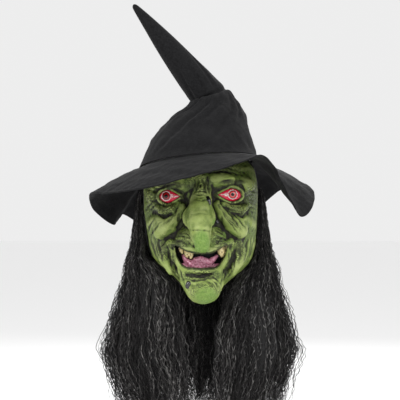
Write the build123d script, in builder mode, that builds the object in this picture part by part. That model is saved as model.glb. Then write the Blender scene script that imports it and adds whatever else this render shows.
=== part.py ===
from build123d import *

import os
from math import cos, exp, radians, sin

# A full-head witch mask in latex, with a wig cap, long crimped hair and a bent cloth hat.
# Millimetres. +Z is up and the face looks along -Y. The origin is in the middle of the opening that the head
# goes in by, level with the tip of the chin. Right and left are the wearer's, so the right side is at -X.

# ---------------------------------------------------------------- driving dimensions
LATEX = 2.6  # wall of the moulded face
CAP_CLOTH = 1.6  # wall of the stretch wig cap
HAT_CLOTH = 2.0  # hat fabric with its stiffening
GLUE = 0.3  # gap that the glue and stitches fill
SQUARENESS = 2.3  # exponent of the head's sections: 2 is an ellipse
# Points of a section as fractions of its half width, from the face's middle round to the back's middle.
FRONT_FRACTIONS = [0, 0.07, 0.14, 0.21, 0.3, 0.42, 0.56, 0.7, 0.84, 0.95]
BACK_FRACTIONS = [0.95, 0.8, 0.6, 0.35]

# The head form: height, half width, front, back, then how far the nose or chin stands out, its half width
# and its step to the left.
HEAD_STATIONS = [
    (-14, 16, -62, 40, 8, 14, 4),
    (2, 22, -74, 54, 22, 18, 5),
    (22, 36, -78, 66, 27, 24, 5),
    (42, 53, -81, 77, 12, 24, 4),
    (58, 67, -82, 83, 1, 24, 2),
    (80, 82, -84, 89, 0, 20, 0),
    (86, 84, -84, 90, 48, 14, 2),
    (96, 86, -85, 92, 56, 17, 2),
    (112, 88, -85, 95, 50, 20, 1),
    (132, 89, -86, 98, 37, 29, 0),
    (150, 90, -86, 100, 27, 20, 0),
    (170, 91, -87, 101, 14, 17, 0),
    (188, 91, -88, 101, 5, 17, 0),
    (214, 86, -82, 96, 0, 17, 0),
    (236, 70, -64, 78, 0, 17, 0),
    (252, 44, -38, 48, 0, 17, 0),
    (260, 16, -14, 16, 0, 17, 0),
]
UNDERSIDE_Z, CROWN_Z = 98, 230  # below the first the inner surface steps up, above the second it steps down

# Trim cuts: height at the middle of the head and the slope along Y.
JAW_Z, JAW_SLOPE = 52, 0.675
NAPE_Z, NAPE_SLOPE = 64, -0.12
SIDE_SEAM_Y, SIDE_SEAM_SLOPE = 29, -0.25  # where the face ends and the cap starts, at the origin's height

# Eyes: side, centre height, half width and half height of the opening between the lids.
EYE_OPENINGS = {"eye_right": (-1, 169, 17, 10.5), "eye_left": (1, 171, 18.5, 11)}
EYE_X, EYE_Y, EYE_TURN = 46, -78, 21  # each eye faces outwards by the turn in degrees
EYE_RADIUS, EYE_WALL, EYE_FRONT = 25, 1.6, 2.5  # the eyeball stands out of its opening by the last
EYE_DEPTH = 11  # how far the eyeball's rim lies behind its front
PUPIL_RADIUS = 1.9
EYE_SPARE = 5  # extra length of the blocks that the eyeball and its pupil are cut from
EYE_CUT = 30  # how far the cut for an eye opening reaches before and behind its plane

# Mouth: corners, lips, and the pouch behind it as insets from the head form.
MOUTH_HALF, MOUTH_CORNER_Z, MOUTH_TOP_Z = 41, 91, 80
MOUTH_BOTTOM_HALF, MOUTH_BOTTOM_Z, MOUTH_SIDE_Z = 24, 58, 71
MOUTH_SIDE_SHARE = 0.86  # half width of the grin at its sides as a share of that at its corners
MOUTH_CUT_FROM, MOUTH_CUT = 40, 80  # start of the cut before the head's middle, and its length
POUCH_ROOM, POUCH_WALL, POUCH_DEPTH, POUCH_GAP = 4, 1.2, 14, 0.8
# Teeth: centre (X, Y), top, half width, half depth and length.
TEETH = {
    "tooth_right_canine": ((-30, -71.5), 87, 3.4, 2.6, 8),
    "tooth_right_molar": ((-18, -73.5), 83.5, 6.4, 3.2, 10),
    "tooth_left_premolar": ((31, -71.5), 87, 5.0, 3.0, 12),
    "tooth_left_molar": ((39.5, -68.5), 90, 2.4, 2.2, 8),
}
TOOTH_ROUND, TOOTH_TAPER = 1.6, 0.65  # corner radius, and the tip's width as a share of the root's
TONGUE_HALF, TONGUE_BOTTOM, TONGUE_PEAK, TONGUE_DIP = 25, 59, 72, 67
TONGUE_FRONT, TONGUE_BACK = -74.5, -69.5
# Warts: centre and radius.
WARTS = {
    "wart_bridge": ((13, -106, 160), 3.8),
    "wart_nostril": ((29, -104, 129), 3.4),
    "wart_chin": ((-17, -100, 32), 4.4),
}
WART_GAP = 0.05

# Hat: middle of the crown seam, its half axes, and how it rises to the left and to the front.
SEAM_X, SEAM_Y, SEAM_Z, SEAM_RX, SEAM_RY = -4, 6, 222, 95, 103
SEAM_RISE_LEFT, SEAM_RISE_FRONT = 9, 13
# Crown: centre (X, Y), height and radii of its sections above the seam.
CROWN_STATIONS = [
    ((2, 9), 254, 83, 88),
    ((8, 11), 277, 72, 72),
    ((14, 13), 296, 60, 57),
    ((17, 14), 310, 45, 42),
]
FOLD_AT, FOLD_RADIUS, FOLD_GAP = (20, 14, 307), 35, 1.0  # the ball-shaped fold that the peak bends over
# Peak: its axis, then distance along it, half width and half depth of each section.
PEAK_FROM, PEAK_LEAN = (12, 14, 331), 39
PEAK_STATIONS = [
    (-10, 22, 21),
    (8, 28, 24),
    (42, 25, 21),
    (84, 21, 18),
    (130, 14.5, 12.5),
    (172, 7.5, 7),
    (187, 4, 4),
]
# Brim edge: direction in degrees (0 front, 90 the wearer's left), radius from the seam's middle, height.
BRIM_EDGE = [
    (0, 190, 200),
    (20, 192, 219),
    (30, 190, 230),
    (42, 176, 211),
    (50, 172, 184),
    (62, 182, 138),
    (80, 188, 162),
    (96, 183, 184),
    (112, 172, 189),
    (125, 165, 178),
    (140, 160, 152),
    (160, 158, 138),
    (180, 160, 134),
    (200, 162, 130),
    (218, 164, 126),
    (232, 162, 139),
    (246, 152, 122),
    (262, 170, 145),
    (275, 175, 166),
    (292, 178, 173),
    (308, 182, 173),
    (325, 186, 176),
    (342, 189, 185),
]
BRIM_INSET = 5  # how far the brim reaches in under the crown
BAND_HEIGHT, BAND_THICK, BAND_RISE = 22, 8, 1  # the band starts above the seam by the last
SEAM_OVERCUT = 5  # how far the hollow of the crown runs out below its seam

# Hair: wefts sewn round the cap, and each bundle's sections: height, centre, radii and turn in degrees.
WEFT_Z, WEFT_HEIGHT, WEFT_WALL = 178, 9, 2.0
WEFT_FRONT_Y, WEFT_SPLIT_X, WEFT_GAP = 10, 60, 2
ELASTIC_HEIGHT, ELASTIC_WALL = 9, 1.2
ELASTIC_BACK, ELASTIC_RISE = 6, 1  # its gaps behind the side seam and above the cap's edge
SIDE_HAIR = [
    (170, (-103, 27), (7, 17), 0),
    (125, (-103, 33), (8, 22), 0),
    (76, (-104, 28), (11, 23), 0),
    (30, (-93, -2), (38, 14), 25),
    (-30, (-88, -24), (60, 13), 20),
    (-76, (-92, -33), (65, 12), 16),
    (-140, (-79, -38), (56, 10), 12),
    (-195, (-72, -40), (36, 7), 10),
]
# Back bundles: height, step outwards, radii across and through.
BACK_HAIR = [
    (166, 0, 27, 6),
    (96, 3, 30, 8),
    (20, 8, 36, 10),
    (-60, 12, 38, 11),
    (-140, 12, 36, 10),
    (-192, 9, 26, 7),
]
BACK_RADIUS = 114  # distance of the back bundles' tops from the cap's middle
BACK_TURNS = {"hair_back_right": -38, "hair_back_middle": 0, "hair_back_left": 38}

FRONT = Plane(origin=(0, 0, 0), x_dir=(1, 0, 0), z_dir=(0, -1, 0))
BIG = 600  # size of the blocks that trim


# ---------------------------------------------------------------- shapes used more than once
def head_section(station, inset, features):
    """One closed section of the head form, inset from its surface."""
    z, half, front, back, bump, bump_half, bump_x = station
    if not features:
        bump = 0
    half -= inset
    if z < UNDERSIDE_Z:
        z += inset
    if z > CROWN_Z:
        z -= inset

    def depth(fraction):
        return (1 - fraction**SQUARENESS) ** (1 / SQUARENESS)

    def front_point(fraction, side):
        x = side * fraction * half
        stand_out = bump * exp(-(((x - bump_x) / max(bump_half - inset, 1)) ** 2))
        return (x, (front + inset) * depth(fraction) - stand_out * depth(fraction))

    def back_point(fraction, side):
        return (side * fraction * half, (back - inset) * depth(fraction))

    points = [front_point(f, 1) for f in FRONT_FRACTIONS]
    points.append((half, 0))
    points += [back_point(f, 1) for f in BACK_FRACTIONS]
    points.append((0, back - inset))
    points += [back_point(f, -1) for f in reversed(BACK_FRACTIONS)]
    points.append((-half, 0))
    points += [front_point(f, -1) for f in reversed(FRONT_FRACTIONS[1:])]
    with BuildSketch(Plane.XY.offset(z)) as section:
        with BuildLine():
            Spline(points, periodic=True)
        make_face()
    return section.sketch


def head_form(inset=0.0, features=True):
    """The whole head as one solid, inset from its surface, with or without its nose and chin."""
    with BuildPart() as form:
        loft([head_section(station, inset, features) for station in HEAD_STATIONS])
    return form.part


def below(z, slope):
    """A big block under a plane that passes the head's middle at a height and slopes along Y."""
    with BuildSketch(Plane.YZ.offset(-BIG / 2)) as side:
        with BuildLine():
            Polyline(
                (-BIG, z - slope * BIG),
                (BIG, z + slope * BIG),
                (BIG, z - 2 * BIG),
                (-BIG, z - 2 * BIG),
                close=True,
            )
        make_face()
    with BuildPart() as block:
        add(extrude(side.sketch, amount=BIG, mode=Mode.PRIVATE))
    return block.part


def behind(gap):
    """A big block behind the side seam, moved back by a gap."""
    front = SIDE_SEAM_Y + gap
    with BuildSketch(Plane.YZ.offset(-BIG / 2)) as side:
        with BuildLine():
            Polyline(
                (front - SIDE_SEAM_SLOPE * BIG, -BIG),
                (front + SIDE_SEAM_SLOPE * BIG, BIG),
                (BIG, BIG),
                (BIG, -BIG),
                close=True,
            )
        make_face()
    with BuildPart() as block:
        add(extrude(side.sketch, amount=BIG, mode=Mode.PRIVATE))
    return block.part


def eye_plane(side, z):
    """The plane of an eye opening, facing forwards and outwards."""
    turn = radians(EYE_TURN)
    x_dir = (cos(turn), side * sin(turn), 0)
    return Plane(origin=(side * EYE_X, EYE_Y, z), x_dir=x_dir, z_dir=(side * sin(turn), -cos(turn), 0))


def mouth_prism(grow):
    """The open grin between the lips, run through the front of the face and grown on every side."""
    corner, bottom = MOUTH_HALF + grow, MOUTH_BOTTOM_HALF + grow
    low, side = MOUTH_BOTTOM_Z - grow, corner * MOUTH_SIDE_SHARE
    with BuildSketch(FRONT.offset(MOUTH_CUT_FROM)) as grin:
        with BuildLine():
            ThreePointArc(
                (-corner, MOUTH_CORNER_Z + grow),
                (0, MOUTH_TOP_Z + grow),
                (corner, MOUTH_CORNER_Z + grow),
            )
            ThreePointArc((corner, MOUTH_CORNER_Z + grow), (side, MOUTH_SIDE_Z), (bottom, low))
            Line((bottom, low), (-bottom, low))
            ThreePointArc((-bottom, low), (-side, MOUTH_SIDE_Z), (-corner, MOUTH_CORNER_Z + grow))
        make_face()
    with BuildPart() as prism:
        add(extrude(grin.sketch, amount=MOUTH_CUT, mode=Mode.PRIVATE))
    return prism.part


def seam_plane(lift=0.0):
    """The tilted plane of the crown seam, lifted along its normal."""
    rise_x, rise_y = SEAM_RISE_LEFT / SEAM_RX, -SEAM_RISE_FRONT / SEAM_RY
    plane = Plane(origin=(SEAM_X, SEAM_Y, SEAM_Z), x_dir=(1, 0, rise_x), z_dir=(-rise_x, -rise_y, 1))
    return plane.offset(lift)


def seam_height(x, y):
    """Height of the crown seam's tilted plane at a point."""
    rise = SEAM_RISE_LEFT * (x - SEAM_X) / SEAM_RX
    return SEAM_Z + rise - SEAM_RISE_FRONT * (y - SEAM_Y) / SEAM_RY


def crown_cone(inset, drop=0.0):
    """The folded cone of the hat from its seam to the fold, as one solid."""
    with BuildSketch(seam_plane(-drop)) as seam:
        Ellipse(SEAM_RX - inset, SEAM_RY - inset)
    sections = [seam.sketch]
    for (x, y), z, rx, ry in CROWN_STATIONS:
        with BuildSketch(Plane.XY.offset(z - inset)) as section:
            with Locations((x, y)):
                Ellipse(rx - inset, ry - inset)
        sections.append(section.sketch)
    with BuildPart() as cone:
        loft(sections)
        with Locations(FOLD_AT):
            Sphere(FOLD_RADIUS - inset)
    return cone.part


def peak_cone(inset):
    """The upper part of the hat from the fold to its tip, as one solid."""
    lean = radians(PEAK_LEAN)
    axis = Plane(origin=PEAK_FROM, x_dir=(cos(lean), 0, sin(lean)), z_dir=(-sin(lean), 0, cos(lean)))
    stations = PEAK_STATIONS if inset == 0 else PEAK_STATIONS[:-1]
    sections = []
    for distance, across, along in stations:
        with BuildSketch(axis.offset(distance)) as section:
            Ellipse(across - inset, along - inset)
        sections.append(section.sketch)
    with BuildPart() as cone:
        loft(sections)
    return cone.part


def hair_bundle(stations):
    """A hanging bundle of hair lofted through turned ellipses."""
    sections = []
    for z, (x, y), (rx, ry), turn in stations:
        with BuildSketch(Plane.XY.offset(z)) as section:
            with Locations(Location((x, y, 0), (0, 0, turn))):
                Ellipse(rx, ry)
        sections.append(section.sketch)
    with BuildPart() as bundle:
        loft(sections)
    return bundle.part


def save(part, name):
    """Labels a finished piece and writes it as one STEP file."""
    part.part.label = name
    export_step(part.part, f"parts/{name}.step")


os.makedirs("parts", exist_ok=True)

# ---------------------------------------------------------------- face and wig cap
head = head_form()
plain_head = head_form(0, features=False)

with BuildPart() as face_skin:
    add(head)
    add(below(JAW_Z, JAW_SLOPE), mode=Mode.SUBTRACT)
    add(behind(0), mode=Mode.SUBTRACT)
    add(head_form(LATEX), mode=Mode.SUBTRACT)
    add(mouth_prism(0), mode=Mode.SUBTRACT)
    for eye_side, eye_z, eye_half_width, eye_half_height in EYE_OPENINGS.values():
        with BuildSketch(eye_plane(eye_side, eye_z).offset(EYE_CUT)):
            Ellipse(eye_half_width, eye_half_height)
        extrude(amount=-2 * EYE_CUT, mode=Mode.SUBTRACT)
save(face_skin, "face_skin")

with BuildPart() as wig_cap:
    add(plain_head)
    add(behind(GLUE), mode=Mode.INTERSECT)
    add(below(NAPE_Z, NAPE_SLOPE), mode=Mode.SUBTRACT)
    add(head_form(CAP_CLOTH, features=False), mode=Mode.SUBTRACT)
save(wig_cap, "wig_cap")

with BuildPart() as cap_elastic:
    add(head_form(-GLUE - ELASTIC_WALL, features=False))
    add(behind(GLUE + ELASTIC_BACK), mode=Mode.INTERSECT)
    add(below(NAPE_Z + ELASTIC_RISE, NAPE_SLOPE), mode=Mode.SUBTRACT)
    add(below(NAPE_Z + ELASTIC_RISE + ELASTIC_HEIGHT, NAPE_SLOPE), mode=Mode.INTERSECT)
    add(head_form(-GLUE, features=False), mode=Mode.SUBTRACT)
save(cap_elastic, "cap_elastic")

# ---------------------------------------------------------------- eyes, mouth and warts
for name, (eye_side, eye_z, eye_half_width, eye_half_height) in EYE_OPENINGS.items():
    middle = eye_plane(eye_side, eye_z).offset(EYE_FRONT - EYE_RADIUS)
    with BuildPart() as eye:
        with BuildSketch(middle.offset(EYE_RADIUS - EYE_DEPTH)):
            Ellipse(eye_half_width - GLUE, eye_half_height - GLUE)
        extrude(amount=EYE_DEPTH + EYE_SPARE)
        with Locations(middle.origin):
            Sphere(EYE_RADIUS, mode=Mode.INTERSECT)
            Sphere(EYE_RADIUS - EYE_WALL, mode=Mode.SUBTRACT)
        with BuildSketch(middle):
            Circle(PUPIL_RADIUS)
        extrude(amount=EYE_RADIUS + EYE_SPARE, mode=Mode.SUBTRACT)
    save(eye, name)

with BuildPart() as mouth_lining:
    add(mouth_prism(POUCH_ROOM + POUCH_WALL))
    add(head_form(LATEX + POUCH_GAP, features=False), mode=Mode.INTERSECT)
    add(head_form(POUCH_DEPTH + POUCH_WALL, features=False), mode=Mode.SUBTRACT)
    add(mouth_prism(POUCH_ROOM) - head_form(POUCH_DEPTH, features=False), mode=Mode.SUBTRACT)
save(mouth_lining, "mouth_lining")

for name, (place, top, half_width, half_depth, length) in TEETH.items():
    with BuildPart() as tooth:
        with BuildSketch(Plane.XY.offset(top)):
            with Locations(place):
                RectangleRounded(2 * half_width, 2 * half_depth, TOOTH_ROUND)
        with BuildSketch(Plane.XY.offset(top - length)):
            with Locations(place):
                RectangleRounded(2 * TOOTH_TAPER * half_width, 2 * TOOTH_TAPER * half_depth, TOOTH_ROUND / 2)
        loft()
    save(tooth, name)

with BuildPart() as tongue:
    with BuildSketch(FRONT.offset(-TONGUE_FRONT)):
        with BuildLine():
            Spline(
                (-TONGUE_HALF, TONGUE_BOTTOM),
                (-TONGUE_HALF / 2, TONGUE_PEAK),
                (0, TONGUE_DIP),
                (TONGUE_HALF / 2, TONGUE_PEAK),
                (TONGUE_HALF, TONGUE_BOTTOM),
            )
            Line((TONGUE_HALF, TONGUE_BOTTOM), (-TONGUE_HALF, TONGUE_BOTTOM))
        make_face()
    extrude(amount=TONGUE_FRONT - TONGUE_BACK)
save(tongue, "tongue")

skin_top = head_form(-WART_GAP)
for name, (centre, radius) in WARTS.items():
    with BuildPart() as wart:
        with Locations(centre):
            Sphere(radius)
        add(skin_top, mode=Mode.SUBTRACT)
    save(wart, name)

# ---------------------------------------------------------------- hat
with BuildPart() as hat_crown:
    add(crown_cone(0))
    add(crown_cone(HAT_CLOTH, SEAM_OVERCUT), mode=Mode.SUBTRACT)
save(hat_crown, "hat_crown")

with BuildPart() as hat_peak:
    add(peak_cone(0))
    with Locations(FOLD_AT):
        Sphere(FOLD_RADIUS + FOLD_GAP, mode=Mode.SUBTRACT)
    add(peak_cone(HAT_CLOTH), mode=Mode.SUBTRACT)
save(hat_peak, "hat_peak")

with BuildPart() as hat_brim:
    rim = []
    for direction, radius, z in BRIM_EDGE:
        a = radians(direction)
        rim.append((SEAM_X + radius * sin(a), SEAM_Y - radius * cos(a), z))
    root = []
    for direction, _, _ in BRIM_EDGE:
        a = radians(direction)
        x = SEAM_X + (SEAM_RX - BRIM_INSET) * sin(a)
        y = SEAM_Y - (SEAM_RY - BRIM_INSET) * cos(a)
        root.append((x, y, seam_height(x, y) - HAT_CLOTH - GLUE))
    sheet = Face.make_surface_from_curves(
        Edge.make_spline([Vector(*p) for p in root], periodic=True),
        Edge.make_spline([Vector(*p) for p in rim], periodic=True),
    )
    thicken(sheet, amount=HAT_CLOTH / 2, both=True)
save(hat_brim, "hat_brim")

with BuildPart() as hat_sweatband:
    add(crown_cone(HAT_CLOTH + GLUE, SEAM_OVERCUT))
    with BuildSketch(seam_plane(BAND_RISE)):
        Circle(BIG / 2)
    extrude(amount=BAND_HEIGHT, mode=Mode.INTERSECT)
    add(crown_cone(HAT_CLOTH + GLUE + BAND_THICK, SEAM_OVERCUT + BAND_RISE), mode=Mode.SUBTRACT)
    add(head_form(-GLUE, features=False), mode=Mode.SUBTRACT)
save(hat_sweatband, "hat_sweatband")

# ---------------------------------------------------------------- hair
weft_outer = head_form(-GLUE - WEFT_WALL, features=False)
weft_inner = head_form(-GLUE, features=False)
WEFT_BOXES = {
    "hair_weft_right": (-BIG / 2, -WEFT_SPLIT_X, WEFT_FRONT_Y),
    "hair_weft_left": (WEFT_SPLIT_X, BIG / 2, WEFT_FRONT_Y),
    "hair_weft_back": (-WEFT_SPLIT_X + WEFT_GAP, WEFT_SPLIT_X - WEFT_GAP, WEFT_FRONT_Y),
}
for name, (x_from, x_to, y_from) in WEFT_BOXES.items():
    with BuildPart() as weft:
        with Locations(((x_from + x_to) / 2, y_from + BIG / 2, WEFT_Z)):
            Box(x_to - x_from, BIG, WEFT_HEIGHT)
        add(weft_outer, mode=Mode.INTERSECT)
        add(weft_inner, mode=Mode.SUBTRACT)
    save(weft, name)

for name, side in (("hair_right", -1), ("hair_left", 1)):
    stations = [(z, (-side * x, y), radii, -side * turn) for z, (x, y), radii, turn in SIDE_HAIR]
    with BuildPart() as side_hair:
        add(hair_bundle(stations))
    save(side_hair, name)

for name, turn in BACK_TURNS.items():
    a = radians(turn)
    stations = []
    for z, step, across, through in BACK_HAIR:
        reach = BACK_RADIUS + step
        stations.append((z, (reach * sin(a), reach * cos(a)), (across, through), -turn))
    with BuildPart() as back_hair:
        add(hair_bundle(stations))
    save(back_hair, name)
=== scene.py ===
"""Looks of the witch mask: sculpted latex face, glossy eyes, teeth, cloth hat and crimped hair.

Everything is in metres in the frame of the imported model. Shapes are worked out in millimetres and scaled
by MM. Right and left are the wearer's, so the right side is at -X and the face looks along -Y.
"""

import math

import bpy
import numpy as np
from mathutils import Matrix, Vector


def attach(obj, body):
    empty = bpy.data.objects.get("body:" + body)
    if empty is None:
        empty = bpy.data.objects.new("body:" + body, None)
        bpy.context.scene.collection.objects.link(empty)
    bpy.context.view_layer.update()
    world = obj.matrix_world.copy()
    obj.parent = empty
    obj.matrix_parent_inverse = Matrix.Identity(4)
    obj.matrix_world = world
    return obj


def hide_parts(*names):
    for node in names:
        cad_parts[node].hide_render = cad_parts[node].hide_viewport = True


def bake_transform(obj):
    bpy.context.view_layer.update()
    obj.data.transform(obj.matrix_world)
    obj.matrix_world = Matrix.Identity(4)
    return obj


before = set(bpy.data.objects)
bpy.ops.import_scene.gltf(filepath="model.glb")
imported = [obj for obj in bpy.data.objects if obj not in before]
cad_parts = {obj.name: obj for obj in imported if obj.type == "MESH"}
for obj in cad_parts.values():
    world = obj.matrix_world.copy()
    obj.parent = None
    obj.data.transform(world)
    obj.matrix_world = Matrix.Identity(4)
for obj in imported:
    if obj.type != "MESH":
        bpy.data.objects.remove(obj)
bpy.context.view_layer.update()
rng = np.random.default_rng(7)

# ---------------------------------------------------------------- driving values
# Lengths are in millimetres unless a comment says otherwise.
MM = 0.001
SQUARENESS = 2.3  # power of the head's outline seen from above; 2 would be an ellipse
FACE_STEP = 1.5  # grid that the face is sculpted on
WALL = 5.0  # thickness of the sculpted skin, whose folds are pressed into it
SKIN_END, CAP_START, EDGE_LEAN = 28.5, 29.5, 0.25  # where skin and cap meet at height 0, and their lean
JAW_HEIGHT, JAW_LEAN = 52.5, 0.675  # the skin's lower edge in the middle, and its rise towards the back
NAPE_HEIGHT, NAPE_LEAN = 64.5, 0.12  # the cap's lower edge in the middle, and its fall towards the back
WRINKLE_LOW, WRINKLE_HIGH = -2.4, 1.2  # deepest fold and highest ridge that wrinkles may add up to
SKIN_LUMPS = ((9.0, 3, 0.3), (3.6, 4, 0.14))  # size, seed and height
EYE_BEHIND, EYE_BULGE = 3.2, 4.6  # how far the eyeball's rim lies behind its lids, and how far it bulges
EYE_WALL = 1.4
TOOTH_STEP, WART_STEP, TONGUE_STEP = 0.35, 0.35, 0.5  # grids of the small pieces
CAP_STEP, CAP_WALL = 1.6, 2.4
SEAM_X, SEAM_Y, SEAM_Z, SEAM_RX, SEAM_RY = -4, 6, 222, 95, 103  # middle and radii of the crown's seam
CONE_ROWS, CONE_COLUMNS, CONE_CLOTH = 200, 240, 1.2  # points of the cloth, and its thickness
BRIM_ROWS, BRIM_COLUMNS, BRIM_CLOTH = 44, 480, 1.4
HEM_LINES = (4.5, 7.0)  # rows of stitching, in from the brim's edge
STITCHES, STITCH_SHARE, STITCH_RADIUS = 130, 0.62, 0.5  # number, share of their pitch, thickness
HAIR_BOTTOM = -216  # height that no strand falls below
STRAND_STEP = 3.9  # between the points of a strand
LOCK_STRANDS = 6
SIDE_STRANDS, SIDE_PIECES = 960, 3  # strands of a hank beside the face, and its number of meshes
BACK_STRANDS, BACK_PIECES = 630, 2
CRIMP = 1.75  # how far the crimped hair swings to each side
ANY_PHASE = 6.28  # upper end of a random phase, in radians
# The studio, in metres, degrees and watts.
TARGET = (-0.0008, 0.0, 0.163)
FLOOR_Z, FLOOR_SIZE = -0.30, 30.0
CAMERA_DISTANCE, CAMERA_LENS = 2.5, 140.0
WORLD_STRENGTH = 0.85
# Lights: name, place, size and power.
LIGHTS = [
    ("key", (-1.1, -1.7, 1.9), 0.6, 36),
    ("fill", (1.7, -1.3, 0.9), 1.1, 14),
    ("back", (0.3, 1.8, 1.3), 1.4, 16),
]


# ---------------------------------------------------------------- meshes
def new_object(name, verts_mm, faces):
    """A mesh object from points in millimetres."""
    mesh = bpy.data.meshes.new(name)
    mesh.from_pydata((np.asarray(verts_mm) * MM).tolist(), [], [tuple(map(int, f)) for f in faces])
    mesh.validate()
    mesh.update()
    mesh.shade_smooth()
    obj = bpy.data.objects.new(name, mesh)
    bpy.context.collection.objects.link(obj)
    return obj


def points_of(obj):
    """The object's vertices in millimetres."""
    co = np.empty(len(obj.data.vertices) * 3, dtype=np.float32)
    obj.data.vertices.foreach_get("co", co)
    return co.reshape(-1, 3).astype(float) / MM


def set_attribute(obj, name, values):
    """Stores one number per vertex for the materials to read."""
    layer = obj.data.attributes.new(name, "FLOAT", "POINT")
    layer.data.foreach_set("value", np.asarray(values, dtype=np.float32))


def grid_faces(rows, columns, closed=True):
    """Quads of a grid of points, closed round its columns or open."""
    r = np.arange(rows - 1)[:, None]
    c = np.arange(columns if closed else columns - 1)[None, :]
    n = (c + 1) % columns
    here, above = r * columns, (r + 1) * columns
    return np.stack([here + c, here + n, above + n, above + c], axis=-1).reshape(-1, 4)


def add_thickness(obj, thickness, offset=-1.0):
    """Applies a solidify of the given thickness in millimetres."""
    mod = obj.modifiers.new("thickness", "SOLIDIFY")
    mod.thickness = thickness * MM
    mod.offset = offset
    mod.use_even_offset = True
    apply_modifiers(obj)


def apply_modifiers(obj):
    """Bakes an object's modifiers into its mesh."""
    bpy.context.view_layer.update()
    graph = bpy.context.evaluated_depsgraph_get()
    done = bpy.data.meshes.new_from_object(obj.evaluated_get(graph))
    obj.modifiers.clear()
    obj.data = done
    obj.data.shade_smooth()


def smoothstep(x, low, high):
    """0 below low, 1 above high, smooth between; either way round."""
    t = np.clip((np.asarray(x, dtype=float) - low) / (high - low), 0, 1)
    return t * t * (3 - 2 * t)


def curve_at(points, t):
    """Points of a smooth Catmull-Rom curve through given rows, at places counted in rows."""
    p = np.asarray(points, dtype=float)
    p = np.vstack([2 * p[0] - p[1], p, 2 * p[-1] - p[-2]])
    i = np.minimum(t.astype(int), len(p) - 4)
    u = (t - i)[:, None]
    a, b, c, d = p[i], p[i + 1], p[i + 2], p[i + 3]
    return 0.5 * (2 * b + (c - a) * u + (2 * a - 5 * b + 4 * c - d) * u**2 + (3 * b - a - 3 * c + d) * u**3)


def spot(x, z, middle, size, edge, full):
    """A soft oval patch seen from the front: 0 beyond its edge, 1 in its middle."""
    return smoothstep(np.hypot((x - middle[0]) / size[0], (z - middle[1]) / size[1]), edge, full)


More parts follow.
